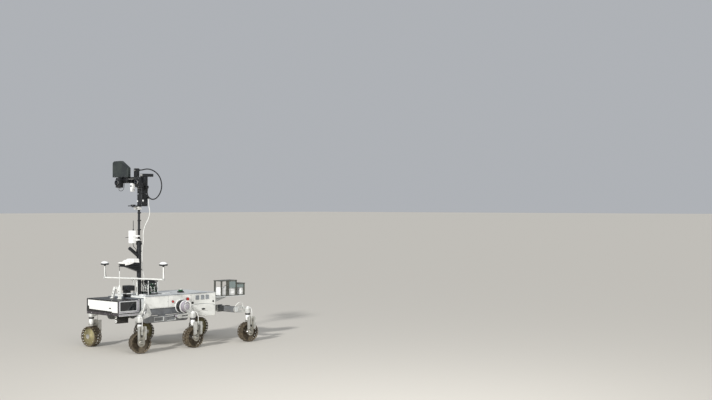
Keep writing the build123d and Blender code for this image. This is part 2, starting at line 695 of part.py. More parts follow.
with BuildPart() as antennas:
    for side, bar_z, low in ANTENNAS:
        antenna_plane = Plane(origin=(GNSS_X, side * ANTENNA_Y, low), x_dir=(1, 0, 0), z_dir=(0, -1, 0))
        with BuildSketch(antenna_plane):
            with BuildLine():
                dome = CenterArc((0, dome_mid_z), DOME_R, rim_angle, 90 - rim_angle)
                Polyline(dome @ 1, (0, 0), (ANTENNA_R, 0), dome @ 0)
            make_face()
        revolve(axis=Axis((GNSS_X, side * ANTENNA_Y, 0), (0, 0, 1)))
finish(antennas.part, "antennas")

# Front deck items
BRACKET_X = 756
BRACKET_THICK = 20
BRACKET_OUTER = [(-83, 587), (-30, 722), (84, 722), (101, 587)]
BRACKET_WINDOW = [(-46, 587), (-2, 700), (44, 700), (60, 587)]
WHIP = (74, 722, 957)
with BuildPart() as deck_bracket:
    with BuildSketch(Plane(origin=(BRACKET_X, 0, 0), x_dir=(0, 1, 0), z_dir=(1, 0, 0))):
        Polygon(*BRACKET_OUTER, align=None)
        Polygon(*BRACKET_WINDOW, align=None, mode=Mode.SUBTRACT)
    extrude(amount=BRACKET_THICK)
    with Locations((BRACKET_X + BRACKET_THICK / 2, WHIP[0], (WHIP[1] + WHIP[2]) / 2)):
        Cylinder(3, WHIP[2] - WHIP[1])
finish(deck_bracket.part, "deck_bracket")

CAMERA_BASE_TOP = 668
CAMERA_BOX = (104, 108, 62)
with BuildPart() as deck_camera:
    with Locations((588, 0, CAMERA_BASE_TOP + CAMERA_BOX[2] / 2)):
        Box(*CAMERA_BOX)
    fillet(deck_camera.edges().filter_by(Axis.Z), 8)
    with BuildSketch(Plane.XY.offset(NECK_Z[1])):
        with Locations((612, 0)):
            Rectangle(56, 84)
    extrude(amount=CAMERA_BASE_TOP - NECK_Z[1])
finish(deck_camera.part, "deck_camera")

# Open electronics beside the mast
CRATE_MID = (331, 60)
CRATE_SIZE = (126, 134)
CRATE_TOP = DECK_Z + 165
CRATE_POST = 10
BOARD_Z = (655, 700, 740)
with BuildPart() as electronics_frame:
    for start, thick in [(DECK_Z, 8), (CRATE_TOP - 5, 5)]:
        with BuildSketch(Plane.XY.offset(start)):
            with Locations(CRATE_MID):
                Rectangle(*CRATE_SIZE)
        extrude(amount=thick)
    with BuildSketch(Plane.XY.offset(DECK_Z)):
        with Locations(CRATE_MID):
            with GridLocations(CRATE_SIZE[0] - CRATE_POST, CRATE_SIZE[1] - CRATE_POST, 2, 2):
                Rectangle(CRATE_POST, CRATE_POST)
    extrude(amount=CRATE_TOP - DECK_Z)
finish(electronics_frame.part, "electronics_frame")

with BuildPart() as circuit_boards:
    for z in BOARD_Z:
        with Locations((*CRATE_MID, z)):
            Box(CRATE_SIZE[0] - 2 * CRATE_POST, CRATE_SIZE[1] - 6, 14)
finish(circuit_boards.part, "circuit_boards")

# Pan base, fixed to the mast's plate, bored for the pan shaft and with a cable gland behind
PAN_SHAFT_R = 20
PAN_SHAFT_LEN = 30
HEAD_SECTION = (94, 90)
GLAND_MID = (344, 46, 1744)
with BuildPart() as pan_base:
    with BuildSketch(Plane.XY.offset(PLATE_Z + PLATE_THICK)):
        with Locations((PAN_X, 0)):
            RectangleRounded(*HEAD_SECTION, 12)
    extrude(amount=PAN_BASE_TOP - PLATE_Z - PLATE_THICK)
    with Locations(GLAND_MID):
        Box(18, 22, 18)
    with Locations((PAN_X, 0, PAN_BASE_TOP - PAN_SHAFT_LEN / 2)):
        Cylinder(PAN_SHAFT_R + BORE_PLAY, PAN_SHAFT_LEN, mode=Mode.SUBTRACT)
finish(pan_base.part, "pan_base")

TILT_SHAFT_R = 12
with BuildPart() as pan_body:
    with BuildSketch(Plane.XY.offset(PAN_BODY_Z[0])):
        with Locations((PAN_X, 0)):
            RectangleRounded(*HEAD_SECTION, 12)
    extrude(amount=PAN_BODY_Z[1] - PAN_BODY_Z[0])
    with Locations((PAN_X, 0, PAN_BODY_Z[0] - PAN_SHAFT_LEN / 2)):
        Cylinder(PAN_SHAFT_R, PAN_SHAFT_LEN)
    with Locations((PAN_X, 0, TILT_Z)):
        Cylinder(TILT_SHAFT_R + BORE_PLAY, HEAD_SECTION[1], rotation=(90, 0, 0), mode=Mode.SUBTRACT)
finish(pan_body.part, "pan_body")

# Tilting bench: two yoke arms on the tilt shaft, a bar across the head and two cable sockets
YOKE_INNER = 52
YOKE_ARM = 8
BENCH_THIN_X = BENCH_X[0] + 16
bench_mid_z = (BENCH_Z[0] + BENCH_Z[1]) / 2
# Columns: middle, size
BENCH_BLOCKS = [
    (((BENCH_THIN_X + BENCH_X[1]) / 2, 0, bench_mid_z), (BENCH_X[1] - BENCH_THIN_X, 2 * BENCH_HALF, 70)),
    (((BENCH_X[0] + BENCH_X[1]) / 2, 0, bench_mid_z), (BENCH_X[1] - BENCH_X[0], 2 * (YOKE_INNER + YOKE_ARM), 70)),
    ((511, 50, 2035), (40, 60, 100)),
    ((497, 225, 2003), (150, 60, 36)),
    ((PAN_X, 78, TILT_Z), (40, 36, 34)),
]
with BuildPart() as camera_bench:
    for side_name, side in SIDES:
        with BuildSketch(side_plane(side * YOKE_INNER)):
            make_hull(circle_edges([(PAN_X, TILT_Z, 26), (BENCH_X[0] + 12, BENCH_Z[0] + 20, 16)]))
        extrude(amount=-side * YOKE_ARM)
    with Locations((PAN_X, 0, TILT_Z)):
        Cylinder(TILT_SHAFT_R, 2 * (YOKE_INNER + YOKE_ARM), rotation=(90, 0, 0))
    for middle, size in BENCH_BLOCKS:
        with Locations(middle):
            Box(*size)
finish(camera_bench.part, "camera_bench")

CAMERA_Y = 190
CAMERA_Z = 1920
LENS_R = 28
with BuildPart() as cameras:
    for side_name, side in SIDES:
        with Locations((BENCH_X[1] + 29, side * CAMERA_Y, CAMERA_Z)):
            Box(58, 80, 116)
        with Locations((BENCH_X[1] + 69, side * CAMERA_Y, CAMERA_Z)):
            Cylinder(LENS_R, 22, rotation=(0, 90, 0))
finish(cameras.part, "cameras")

with BuildPart() as centre_camera:
    with Locations((533, 0, 1865)):
        Box(36, 46, 100)
    fillet(centre_camera.edges().filter_by(Axis.Z), 8)
finish(centre_camera.part, "centre_camera")

# Dark hood on the right half of the bench, cut away towards the middle
HOOD_X = 545
HOOD_THICK = 40
HOOD = [(-325, 1985), (-325, 2150), (-300, 2172), (-165, 2176), (-20, 2092), (-20, 1985)]
with BuildPart() as bench_hood:
    with BuildSketch(Plane(origin=(HOOD_X, 0, 0), x_dir=(0, 1, 0), z_dir=(1, 0, 0))):
        Polygon(*HOOD, align=None)
    extrude(amount=HOOD_THICK)
finish(bench_hood.part, "bench_hood")

# Cable loop behind the head, from the bench down and round to the yoke
HEAD_CABLE_R = 7
HEAD_CABLE_Y = 88
HEAD_CABLE = [
    (491, 50, 2066), (440, 50, 2066), (386, 56, 2082), (322, 64, 2079), (258, 72, 2051), (208, 80, 2003),
    (180, 84, 1938), (178, HEAD_CABLE_Y, 1868), (198, HEAD_CABLE_Y, 1805), (240, HEAD_CABLE_Y, 1752),
    (286, HEAD_CABLE_Y, 1727), (329, HEAD_CABLE_Y, 1727), (368, HEAD_CABLE_Y, 1750),
    (PAN_X, HEAD_CABLE_Y, 1789), (PAN_X, HEAD_CABLE_Y, 1853),
]
finish(cable(HEAD_CABLE, HEAD_CABLE_R, "head_cable"), "head_cable")

# Cable down the mast, from the gland on the pan base to the lid of the electronics
MAST_CABLE_R = 4
MAST_CABLE = [
    (342, 50, 1735), (342, 50, 1690), (338, 56, 1635), (331, 62, 1585), (338, 60, 1530), (360, 54, 1475),
    (388, 47, 1425), (402, 38, 1370), (407, 33, 1310), (404, 37, 1245), (409, 31, 1180), (416, 25, 1120),
    (416, 27, 1055), (413, 25, 990), (415, 28, 930), (404, 26, 880), (386, 24, 830), (386, 24, CRATE_TOP),
]
finish(cable(MAST_CABLE, MAST_CABLE_R, "mast_cable"), "mast_cable")
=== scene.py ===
# %% [markdown]
# # A planetary rover prototype
# Six steered drum wheels stand on three bogies under a flat white body. A glazed instrument bay sits in
# front, and a mast carries a pan and tilt camera head. The solids come packed from the CAD model, and this
# lesson gives them their finishes and adds what is too fine for the solids.

# %% Load the frame
import json
import math

import bpy
import bmesh
from mathutils import Vector, Matrix

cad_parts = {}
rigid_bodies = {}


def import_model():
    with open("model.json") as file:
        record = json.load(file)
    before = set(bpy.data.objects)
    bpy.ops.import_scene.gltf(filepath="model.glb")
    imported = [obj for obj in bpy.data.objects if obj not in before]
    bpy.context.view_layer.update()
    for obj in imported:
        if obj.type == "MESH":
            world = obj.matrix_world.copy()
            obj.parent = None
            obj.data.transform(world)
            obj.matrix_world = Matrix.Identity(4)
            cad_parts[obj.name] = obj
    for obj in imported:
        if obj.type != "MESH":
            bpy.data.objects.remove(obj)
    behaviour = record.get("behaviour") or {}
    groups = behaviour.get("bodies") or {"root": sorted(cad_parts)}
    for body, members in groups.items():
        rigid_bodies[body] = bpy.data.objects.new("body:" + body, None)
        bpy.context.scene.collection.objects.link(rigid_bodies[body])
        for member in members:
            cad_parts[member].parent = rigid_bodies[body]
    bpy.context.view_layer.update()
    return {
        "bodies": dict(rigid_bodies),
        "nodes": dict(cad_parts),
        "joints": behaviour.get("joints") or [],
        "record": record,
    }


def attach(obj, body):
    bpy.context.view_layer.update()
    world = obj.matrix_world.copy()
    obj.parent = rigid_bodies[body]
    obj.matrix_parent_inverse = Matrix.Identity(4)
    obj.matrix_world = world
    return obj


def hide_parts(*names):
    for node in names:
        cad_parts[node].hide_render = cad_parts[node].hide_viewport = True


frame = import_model()
nodes = frame["nodes"]
MM = 0.001

# %% [markdown]
# The wheels stand at six places. Every lesson cell that makes a wheel, a leg or a steering motor walks
# through this one table, so that the six units stay alike.

# %% The six wheel units
AXLE_X = {"front": 776 * MM, "mid": 21 * MM, "rear": -827 * MM}
TRACK_Y = 473
HALF_TRACK = TRACK_Y * MM
AXLE_HEIGHT = 120
AXLE_Z = AXLE_HEIGHT * MM
SIDES = (("left", 1), ("right", -1))
UNITS = [
    (f"{axle}_{side_name}", x, side)
    for axle, x in AXLE_X.items()
    for side_name, side in SIDES
]
print("wheel units:", [name for name, x, side in UNITS])

# %% [markdown]
# ## Finishes
# A material starts from what the real one is. Colours are written as the sRGB hex values that a painter
# would read off, and one function turns them to the linear values that the renderer works in.


# %% Colours and nodes
def linear(hex_colour):
    """Turn an sRGB hex value into a linear colour."""
    channels = []
    for start in (1, 3, 5):
        value = int(hex_colour[start:start + 2], 16) / 255
        channels.append(value / 12.92 if value <= 0.04045 else ((value + 0.055) / 1.055) ** 2.4)
    return (*channels, 1.0)


def add(tree, kind, settings=None, links=None):
    """Add one node, set its properties and sockets, and link its inputs."""
    node = tree.nodes.new(kind)
    for name, value in (settings or {}).items():
        if isinstance(name, str) and hasattr(node, name):
            setattr(node, name, value)
        else:
            node.inputs[name].default_value = value
    for name, source in (links or {}).items():
        tree.links.new(source, node.inputs[name])
    return node


def finish_material(name, roughness, metallic=0.0):
    """A new material, its tree, and its Principled shader."""
    material = bpy.data.materials.new(name)
    material.use_nodes = True
    tree = material.node_tree
    surface = tree.nodes["Principled BSDF"]
    surface.inputs["Roughness"].default_value = roughness
    surface.inputs["Metallic"].default_value = metallic
    return material, tree, surface


# %% [markdown]
# Field dust settles on everything near the ground and thins out upwards. It is the same pale clay on every
# finish, so one helper mixes it over a colour: by height, broken up by noise about 30 mm across.


# %% Dust
DUST = "#b3a587"


def dusted(tree, colour, top, amount):
    """Mix clay dust over a colour, strongest at the ground and gone at the height top, in metres."""
    place = add(tree, "ShaderNodeTexCoord")
    split = add(tree, "ShaderNodeSeparateXYZ", links={0: place.outputs["Object"]})
    height = add(tree, "ShaderNodeMapRange", {1: 0.0, 2: top, 3: amount, 4: 0.0}, {0: split.outputs["Z"]})
    cloud = add(tree, "ShaderNodeTexNoise", {"Scale": 33.0, "Detail": 6.0},
                {"Vector": place.outputs["Object"]})
    patch = add(tree, "ShaderNodeMapRange", {1: 0.3, 2: 0.7, 3: 0.25, 4: 1.0}, {0: cloud.outputs["Fac"]})
    share = add(tree, "ShaderNodeMath", {"operation": "MULTIPLY"},
                {0: height.outputs[0], 1: patch.outputs[0]})
    mixed = add(tree, "ShaderNodeMix", {"data_type": "RGBA", "clamp_factor": True})
    tree.links.new(share.outputs[0], mixed.inputs[0])
    tree.links.new(colour, mixed.inputs[6])
    mixed.inputs[7].default_value = linear(DUST)
    return mixed.outputs[2]


def two_tone(tree, dark, light, patch_mm):
    """A colour that wanders between two hex values, its patches about patch_mm across."""
    place = add(tree, "ShaderNodeTexCoord")
    noise = add(tree, "ShaderNodeTexNoise", {"Scale": 1 / (patch_mm * MM), "Detail": 4.0},
                {"Vector": place.outputs["Object"]})
    spread = add(tree, "ShaderNodeMapRange", {1: 0.4, 2: 0.6}, {0: noise.outputs["Fac"]})
    mix = add(tree, "ShaderNodeMix", {"data_type": "RGBA"}, {0: spread.outputs[0]})
    mix.inputs[6].default_value = linear(dark)
    mix.inputs[7].default_value = linear(light)
    return mix.outputs[2]


def grained(tree, surface, grain_mm, depth_mm):
    """A bump of depth_mm whose grain is grain_mm across."""
    place = add(tree, "ShaderNodeTexCoord")
    noise = add(tree, "ShaderNodeTexNoise", {"Scale": 1 / (grain_mm * MM), "Detail": 3.0},
                {"Vector": place.outputs["Object"]})
    bump = add(tree, "ShaderNodeBump", {"Strength": 0.4, "Distance": depth_mm * MM},
               {"Height": noise.outputs["Fac"]})
    tree.links.new(bump.outputs[0], surface.inputs["Normal"])


def dusty_finish(name, dark, light, patch_mm, grain, roughness, metallic, dust, top):
    """A two-tone surface with dust up to the height top and a grain of a size and depth in mm."""
    material, tree, surface = finish_material(name, roughness, metallic)
    colour = dusted(tree, two_tone(tree, dark, light, patch_mm), top, dust)
    tree.links.new(colour, surface.inputs["Base Color"])
    grained(tree, surface, *grain)
    return material


# %% [markdown]
# Powder-coated aluminium sheet makes the body. The powder melts into a skin with a faint orange peel about
# 1.5 mm across, which breaks up the highlight. The grey bogies have the same coating in a darker shade.


# %% Powder coat
def powder_coat(name, dark, light, roughness=0.42, dust=0.35):
    """Baked powder coating, slightly mottled and dusty low down."""
    return dusty_finish(name, dark, light, 90, (1.5, 0.12), roughness, 0.0, dust, 0.6)


WHITE_POWDER = powder_coat("powder coat white", "#deded8", "#ebebe5", dust=0.22)
PALE_GREY_POWDER = powder_coat("powder coat pale grey", "#c3c6c5", "#d3d5d3")
GREY_POWDER = powder_coat("powder coat grey", "#94989b", "#a7abad")
DARK_POWDER = powder_coat("powder coat slate", "#5b5f64", "#6b6f74")
OLIVE_POWDER = powder_coat("powder coat dark olive", "#45463f", "#55564e")

# %% [markdown]
# The legs, brackets and frames are folded or milled aluminium, blasted with fine beads. That leaves a soft
# metallic surface with no direction, so the highlight is wide.


# %% Aluminium
def blasted_metal(name, dark, light, roughness=0.38, dust=0.4, metallic=0.85):
    """Bead-blasted metal with a fine even grain."""
    return dusty_finish(name, dark, light, 60, (1.0, 0.08), roughness, metallic, dust, 0.45)


ALUMINIUM = blasted_metal("aluminium bead blasted", "#bfc0bc", "#dcdcd8", roughness=0.45, metallic=0.5)
STAINLESS = blasted_metal("stainless steel turned", "#c9c8c4", "#e4e3df", roughness=0.25, dust=0.2)
WHEEL_SHEET = blasted_metal("steel sheet perforated and dusty", "#3c332a", "#584c3f",
                            roughness=0.55, dust=0.35, metallic=0.4)
CHROMATED = blasted_metal("aluminium chromate conversion coated", "#6f6a45", "#8f885c",
                          roughness=0.5, dust=0.6, metallic=0.5)

# %% [markdown]
# Black anodising dyes the oxide skin of the aluminium. It stays a little metallic and gathers pale dust.
# Moulded plastics and cable jackets have the same fine grain and no metal in them.


# %% Anodised and moulded parts
def fine_finish(name, dark, light, roughness=0.4, metallic=0.0, dust=0.1):
    """An anodised, moulded or extruded surface with a very fine grain."""
    return dusty_finish(name, dark, light, 25, (0.8, 0.05), roughness, metallic, dust, 0.8)


BLACK_ANODISED = fine_finish("aluminium anodised black", "#17181a", "#25272a", metallic=0.2)
BLACK_PLASTIC = fine_finish("ABS moulded black", "#131315", "#1e1f22", roughness=0.5)
WHITE_PLASTIC = fine_finish("ABS moulded white", "#e3e3df", "#f0f0ec", roughness=0.35, dust=0.2)
RED_PLASTIC = fine_finish("ABS moulded red", "#a5161a", "#c92822", roughness=0.3, dust=0.2)
BLACK_JACKET = fine_finish("PUR cable jacket black", "#121214", "#1c1c1f", roughness=0.45)
WHITE_JACKET = fine_finish("PVC cable jacket white", "#d9d9d4", "#e9e9e4", roughness=0.4)

# %% [markdown]
# The side windows and the camera lenses are dark coated glass. A smooth, nearly black surface with a clear
# reflection reads as glass with a dark room behind it.


# %% Glass and boards
def dark_glass(name, colour, roughness=0.06):
    """Coated glass over a dark space, closed to the eye."""
    material, tree, surface = finish_material(name, roughness)
    surface.inputs["Base Color"].default_value = linear(colour)
    surface.inputs["IOR"].default_value = 1.52
    surface.inputs["Coat Weight"].default_value = 0.6
    grained(tree, surface, 40, 0.02)
    return material


WINDOW_GLASS = dark_glass("glass coated dark", "#15181b")
LENS_GLASS = dark_glass("glass lens coated", "#101726", roughness=0.03)
SMOKED_ACRYLIC = dark_glass("acrylic smoked", "#7d8a88", roughness=0.15)
BOARD_MASK = fine_finish("circuit board solder mask", "#1f4a2e", "#2c6040", roughness=0.35)
CHIP_BODY = fine_finish("epoxy chip moulding", "#1a1a1c", "#232326", roughness=0.55)


# %% Give a finish to the solids that stay
def paint(material, *names):
    """Put one material on every slot of the named CAD nodes or made objects."""
    for name in names:
        piece = nodes[name] if isinstance(name, str) else name
        piece.data.materials.clear()
        piece.data.materials.append(material)


paint(WHITE_POWDER, "body_shell", "antenna_frame")
paint(PALE_GREY_POWDER, "deck_plate", "rear_shelf")
paint(DARK_POWDER, "lower_bay", "side_bogies", "bogie_rear")
paint(OLIVE_POWDER, "rack_frame")
paint(ALUMINIUM, "wheel_brackets")
paint(BLACK_ANODISED, "mast_lower", "mast_upper", "mast_tray", "electronics_frame", "pan_base", "pan_body")
paint(WINDOW_GLASS, "side_windows")
paint(SMOKED_ACRYLIC, "rack_glass")
print("materials:", len(bpy.data.materials))

# %% [markdown]
# ## Making pieces
# Every detail below is built in the frame of the whole rover and rides on one body. Its places are written
# in mm, and a few helpers turn them into metres and make the shapes that come again and again: turned parts,
# blocks with rounded edges, plates with an outline, and frames around an opening.


# %% Shape helpers
UP = (0, 0, 1)
AHEAD = (1, 0, 0)
BACK = (-1, 0, 0)


def new_object(name, data):
    """A new object that is linked to the scene."""
    made = bpy.data.objects.new(name, data)
    bpy.context.scene.collection.objects.link(made)
    return made


def mesh_from(name, bm):
    """Turn a bmesh into a mesh with outward faces."""
    bmesh.ops.recalc_face_normals(bm, faces=bm.faces)
    mesh = bpy.data.meshes.new(name)
    bm.to_mesh(mesh)
    bm.free()
    return mesh


def piece_from(name, bm, body, *materials, replaces=(), sharp=32):
    """Turn a bmesh into a smooth piece that rides on a body."""
    mesh = mesh_from(name, bm)
    for material in materials:
        mesh.materials.append(material)
    for face in mesh.polygons:
        face.use_smooth = True
    mesh.set_sharp_from_angle(angle=math.radians(sharp))
    piece = new_object(name, mesh)
    if replaces:
        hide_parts(*replaces)
    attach(piece, body)


def loft(bm, rings, material=0, closed=False):
    """Skin rings of equal length, in order, with a cap at each end or closed into a loop."""
    made = []
    count = len(rings[0])
    pairs = list(zip(rings, rings[1:]))
    if closed:
        pairs.append((rings[-1], rings[0]))
    for low, high in pairs:
        for i in range(count):
            made.append(bm.faces.new((low[i - 1], low[i], high[i], high[i - 1])))
    if not closed:
        made.append(bm.faces.new(rings[0]))
        made.append(bm.faces.new(rings[-1]))
    for face in made:
        face.material_index = material


def lathe(bm, profile, matrix=Matrix(), segments=40, material=0, closed=False):
    """Spin (radius, height) points in mm about a matrix's Z axis; closed makes a ring with a hole."""
    rings = []
    for radius, height in profile:
        ring = []
        for i in range(segments):
            turn = math.tau * i / segments
            place = (radius * MM * math.cos(turn), radius * MM * math.sin(turn), height * MM)
            ring.append(bm.verts.new(matrix @ Vector(place)))
        rings.append(ring)
    loft(bm, rings, material, closed)


def rounded(width, height, radius, steps=4, middle=(0, 0)):
    """Outline of a rounded rectangle in mm, as a list of points."""
    points = []
    for quarter in range(4):
        sx = (1, -1, -1, 1)[quarter]
        sy = (1, 1, -1, -1)[quarter]
        for step in range(steps + 1):
            turn = math.pi / 2 * (quarter + step / steps)
            x = middle[0] + sx * (width / 2 - radius) + radius * math.cos(turn)
            y = middle[1] + sy * (height / 2 - radius) + radius * math.sin(turn)
            points.append((x, y))
    return points


def ring_at(bm, outline, height, matrix, shrink=0.0):
    """Vertices of an outline at a height in mm, drawn in towards its middle by shrink."""
    mid_x = sum(p[0] for p in outline) / len(outline)
    mid_y = sum(p[1] for p in outline) / len(outline)
    ring = []
    for x, y in outline:
        away = math.hypot(x - mid_x, y - mid_y) or 1
        keep = 1 - shrink / away
        place = ((mid_x + (x - mid_x) * keep) * MM, (mid_y + (y - mid_y) * keep) * MM, height * MM)
        ring.append(bm.verts.new(matrix @ Vector(place)))
    return ring


def plate(bm, outline, low, high, matrix=Matrix(), edge=1.0, material=0):
    """An outline raised from low to high along a matrix's Z axis, its upper edge broken."""
    rings = [ring_at(bm, outline, low, matrix), ring_at(bm, outline, high - edge, matrix),
             ring_at(bm, outline, high, matrix, edge)]
    loft(bm, rings, material)


def frame_plate(bm, outer, inner, low, high, matrix=Matrix(), edge=0.8, material=0):
    """A plate with an opening; both outlines have the same number of points."""
    rings = [ring_at(bm, outer, low, matrix), ring_at(bm, outer, high - edge, matrix),
             ring_at(bm, outer, high, matrix, edge), ring_at(bm, inner, high, matrix, -edge),
             ring_at(bm, inner, high - edge, matrix), ring_at(bm, inner, low, matrix)]
    loft(bm, rings, material, closed=True)


def block(bm, middle, size, edge=1.5, matrix=Matrix(), material=0):
    """A box of a middle and size in mm with rounded edges."""
    before = set(bm.faces)
    place = matrix @ Matrix.Translation(Vector(middle) * MM) @ Matrix.Diagonal((*(Vector(size) * MM), 1))
    made = bmesh.ops.create_cube(bm, size=1, matrix=place)
    edges = {edge_of for vert in made["verts"] for edge_of in vert.link_edges}
    bmesh.ops.bevel(bm, geom=list(edges), offset=edge * MM, segments=2, affect="EDGES", profile=0.6)
    for face in set(bm.faces) - before:
        face.material_index = material


def arc(radii, start, sweep, steps, middle=(0, 0)):
    """Points on a circle or an ellipse, from a start angle through a sweep."""
    turns = [start + sweep * i / steps for i in range(steps + 1)]
    return [(middle[0] + radii[0] * math.cos(t), middle[1] + radii[1] * math.sin(t)) for t in turns]


def wall(side, y):
    """Matrix of an upright face at y, its X along the rover, its Y up and its Z outward."""
    return Matrix(((1, 0, 0, 0), (0, 0, side, side * y * MM), (0, 1, 0, 0), (0, 0, 0, 1)))


def front_wall(x):
    """Matrix of a face that looks forward at x, its X to the rover's left and its Y up."""
    return Matrix(((0, 0, 1, x * MM), (1, 0, 0, 0), (0, 1, 0, 0), (0, 0, 0, 1)))


def standing(x, y, z=0):
    """Matrix of an upright axis at a place in mm."""
    return Matrix.Translation(Vector((x, y, z)) * MM)


def along(start, aim):
    """Matrix at a start in mm whose Z axis points along an aim."""
    turn = Vector(aim).to_track_quat("Z", "Y").to_matrix().to_4x4()
    return standing(*start) @ turn


# Degrees that each wheel stands turned at rest, read from the photograph
STEER_REST = {"front_left": -20, "front_right": -80, "mid_left": 0, "mid_right": 0, "rear_left": -11,
              "rear_right": 0}


def unit_matrix(name, side):
    """Matrix of a wheel unit: Z up from the ground, Y outboard, turned as the wheel stands."""
    axle = name.split("_")[0]
    turn = math.radians(STEER_REST[name]) + (0 if side > 0 else math.pi)
    return Matrix.Translation((AXLE_X[axle], side * HALF_TRACK, 0)) @ Matrix.Rotation(turn, 4, "Z")


# %% [markdown]
# Two things repeat all over the rover: screw heads and the holes of the wheel drums. Geometry Nodes make
# both. The first tree stands a screw head on every point of a mesh, along the direction stored there.


# %% Geometry Nodes helpers
def new_tree(name, sockets):
    """A Geometry Nodes tree with named inputs, and its input and output nodes."""
    tree = bpy.data.node_groups.new(name, "GeometryNodeTree")
    tree.interface.new_socket("Geometry", in_out="INPUT", socket_type="NodeSocketGeometry")
    for label, kind in sockets:
        tree.interface.new_socket(label, in_out="INPUT", socket_type=f"NodeSocket{kind}")
    tree.interface.new_socket("Geometry", in_out="OUTPUT", socket_type="NodeSocketGeometry")
    return tree, tree.nodes.new("NodeGroupInput"), tree.nodes.new("NodeGroupOutput")


def run_tree(name, base, tree, values):
    """Put a tree on a base mesh, set its inputs by name, and give back the mesh that it makes."""
    holder = new_object(name, base)
    modifier = holder.modifiers.new(tree.name, "NODES")
    modifier.node_group = tree
    for item in tree.interface.items_tree:
        if item.in_out == "INPUT" and item.name in values:
            modifier[item.identifier] = values[item.name]
    bpy.context.view_layer.update()
    depsgraph = bpy.context.evaluated_depsgraph_get()
    made = bpy.data.meshes.new_from_object(holder.evaluated_get(depsgraph), depsgraph=depsgraph)
    bpy.data.objects.remove(holder)
    return made


# %% The screw head and its tree
def screw_head():
    """A cylinder head screw, 1 m across, with a hexagon socket."""
    bm = bmesh.new()
    rings = []
    for count, radius, height in [(24, 500, 0), (24, 500, 400), (24, 450, 450), (6, 250, 450), (6, 250, 200)]:
        ring = []
        for i in range(24):
            turn = math.tau * i / 24
            reach = radius
            if count == 6:
                reach = radius * math.cos(math.pi / 6) / math.cos((turn % (math.pi / 3)) - math.pi / 6)
            place = (reach * MM * math.cos(turn), reach * MM * math.sin(turn), height * MM)
            ring.append(bm.verts.new(place))
        rings.append(ring)
    loft(bm, rings)
    return bpy.data.objects.new("screw_head", mesh_from("screw_head", bm))


SCREW = screw_head()
SCREW_TREE, source, result = new_tree("screws on points", [("Screw", "Object"), ("Material", "Material")])
screw_info = add(SCREW_TREE, "GeometryNodeObjectInfo", {}, {"Object": source.outputs["Screw"]})
aim_value = add(SCREW_TREE, "GeometryNodeInputNamedAttribute", {"data_type": "FLOAT_VECTOR", "Name": "aim"})
head_value = add(SCREW_TREE, "GeometryNodeInputNamedAttribute", {"data_type": "FLOAT", "Name": "head"})
turned = add(SCREW_TREE, "FunctionNodeAlignRotationToVector", {"axis": "Z"}, {"Vector": aim_value.outputs[0]})
stood = add(SCREW_TREE, "GeometryNodeInstanceOnPoints", {}, {
    "Points": source.outputs["Geometry"], "Instance": screw_info.outputs["Geometry"],
    "Rotation": turned.outputs[0], "Scale": head_value.outputs[0]})
solid = add(SCREW_TREE, "GeometryNodeRealizeInstances", {}, {"Geometry": stood.outputs[0]})
dressed = add(SCREW_TREE, "GeometryNodeSetMaterial", {}, {
    "Geometry": solid.outputs[0], "Material": source.outputs["Material"]})
SCREW_TREE.links.new(dressed.outputs[0], result.inputs[0])


def screws(name, body, rows, matrix=Matrix()):
    """Screw heads from rows of place in mm, aim and head diameter in mm, as one plain piece."""
    base = bpy.data.meshes.new(name)
    base.from_pydata([matrix @ (Vector(place) * MM) for place, aim, head in rows], [], [])
    base.attributes.new("aim", "FLOAT_VECTOR", "POINT")
    base.attributes.new("head", "FLOAT", "POINT")
    aims = base.attributes["aim"]
    heads = base.attributes["head"]
    for i, (place, aim, head) in enumerate(rows):
        aims.data[i].vector = matrix.to_3x3() @ Vector(aim)
        heads.data[i].value = head * MM
    made = run_tree(name, base, SCREW_TREE, {"Screw": SCREW, "Material": STAINLESS})
    piece = new_object(name, made)
    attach(piece, body)


def circle_rows(middle, radius, count, aim, head, start=0.0):
    """Rows for screws on a circle around a middle, the circle standing across the aim."""
    turn = Vector(aim).to_track_quat("Z", "Y")
    rows = []
    for i in range(count):
        angle = start + math.tau * i / count
        offset = turn @ Vector((radius * math.cos(angle), radius * math.sin(angle), 0))
        rows.append((tuple(Vector(middle) + offset), aim, head))
    return rows


print("screw tree nodes:", len(SCREW_TREE.nodes))

# %% [markdown]
# ## Wheels
# A wheel is a drum of perforated sheet with a spun cone inside it. The second tree lays one cell with a round
# hole on a grid, shifts every other row by half a pitch, wraps the sheet round the drum, gives it its
# thickness and adds the grousers.

# %% The cell with one hole
HOLES_AROUND = 20
HOLE_ROWS = 3
DRUM_R = 112.5
DRUM_W = 102.0
PITCH = math.tau * DRUM_R / HOLES_AROUND
ROW_PITCH = DRUM_W / HOLE_ROWS
HOLE_R = 9.0
SHEET = 2
GROUSERS = 20
CELL_STEPS = 6


def cell_mesh():
    """One flat cell of the drum: a rectangle whose middle has a round hole."""
    outer = []
    for side in range(4):
        for step in range(CELL_STEPS):
            t = step / CELL_STEPS - 0.5
            x, y = [(t, -0.5), (0.5, t), (-t, 0.5), (-0.5, -t)][side]
            outer.append((x * PITCH * MM, y * ROW_PITCH * MM, 0))
    count = len(outer)
    inner = []
    for i in range(count):
        turn = math.tau * (i / count) - math.pi * 0.75
        inner.append((HOLE_R * MM * math.cos(turn), HOLE_R * MM * math.sin(turn), 0))
    faces = [(i, (i + 1) % count, count + (i + 1) % count, count + i) for i in range(count)]
    mesh = bpy.data.meshes.new("drum_cell")
    mesh.from_pydata(outer + inner, [], faces)
    return mesh


def grouser_mesh():
    """One grouser, a bar with a narrowed top, lying along Y."""
    bm = bmesh.new()
    half = DRUM_W / 2 + 3
    section = [(-3, 0), (-1.8, 6.5), (1.8, 6.5), (3, 0)]
    rings = [[bm.verts.new((x * MM, y * MM, z * MM)) for x, z in section] for y in (-half, 0, half)]
    loft(bm, rings)
    return mesh_from("grouser", bm)


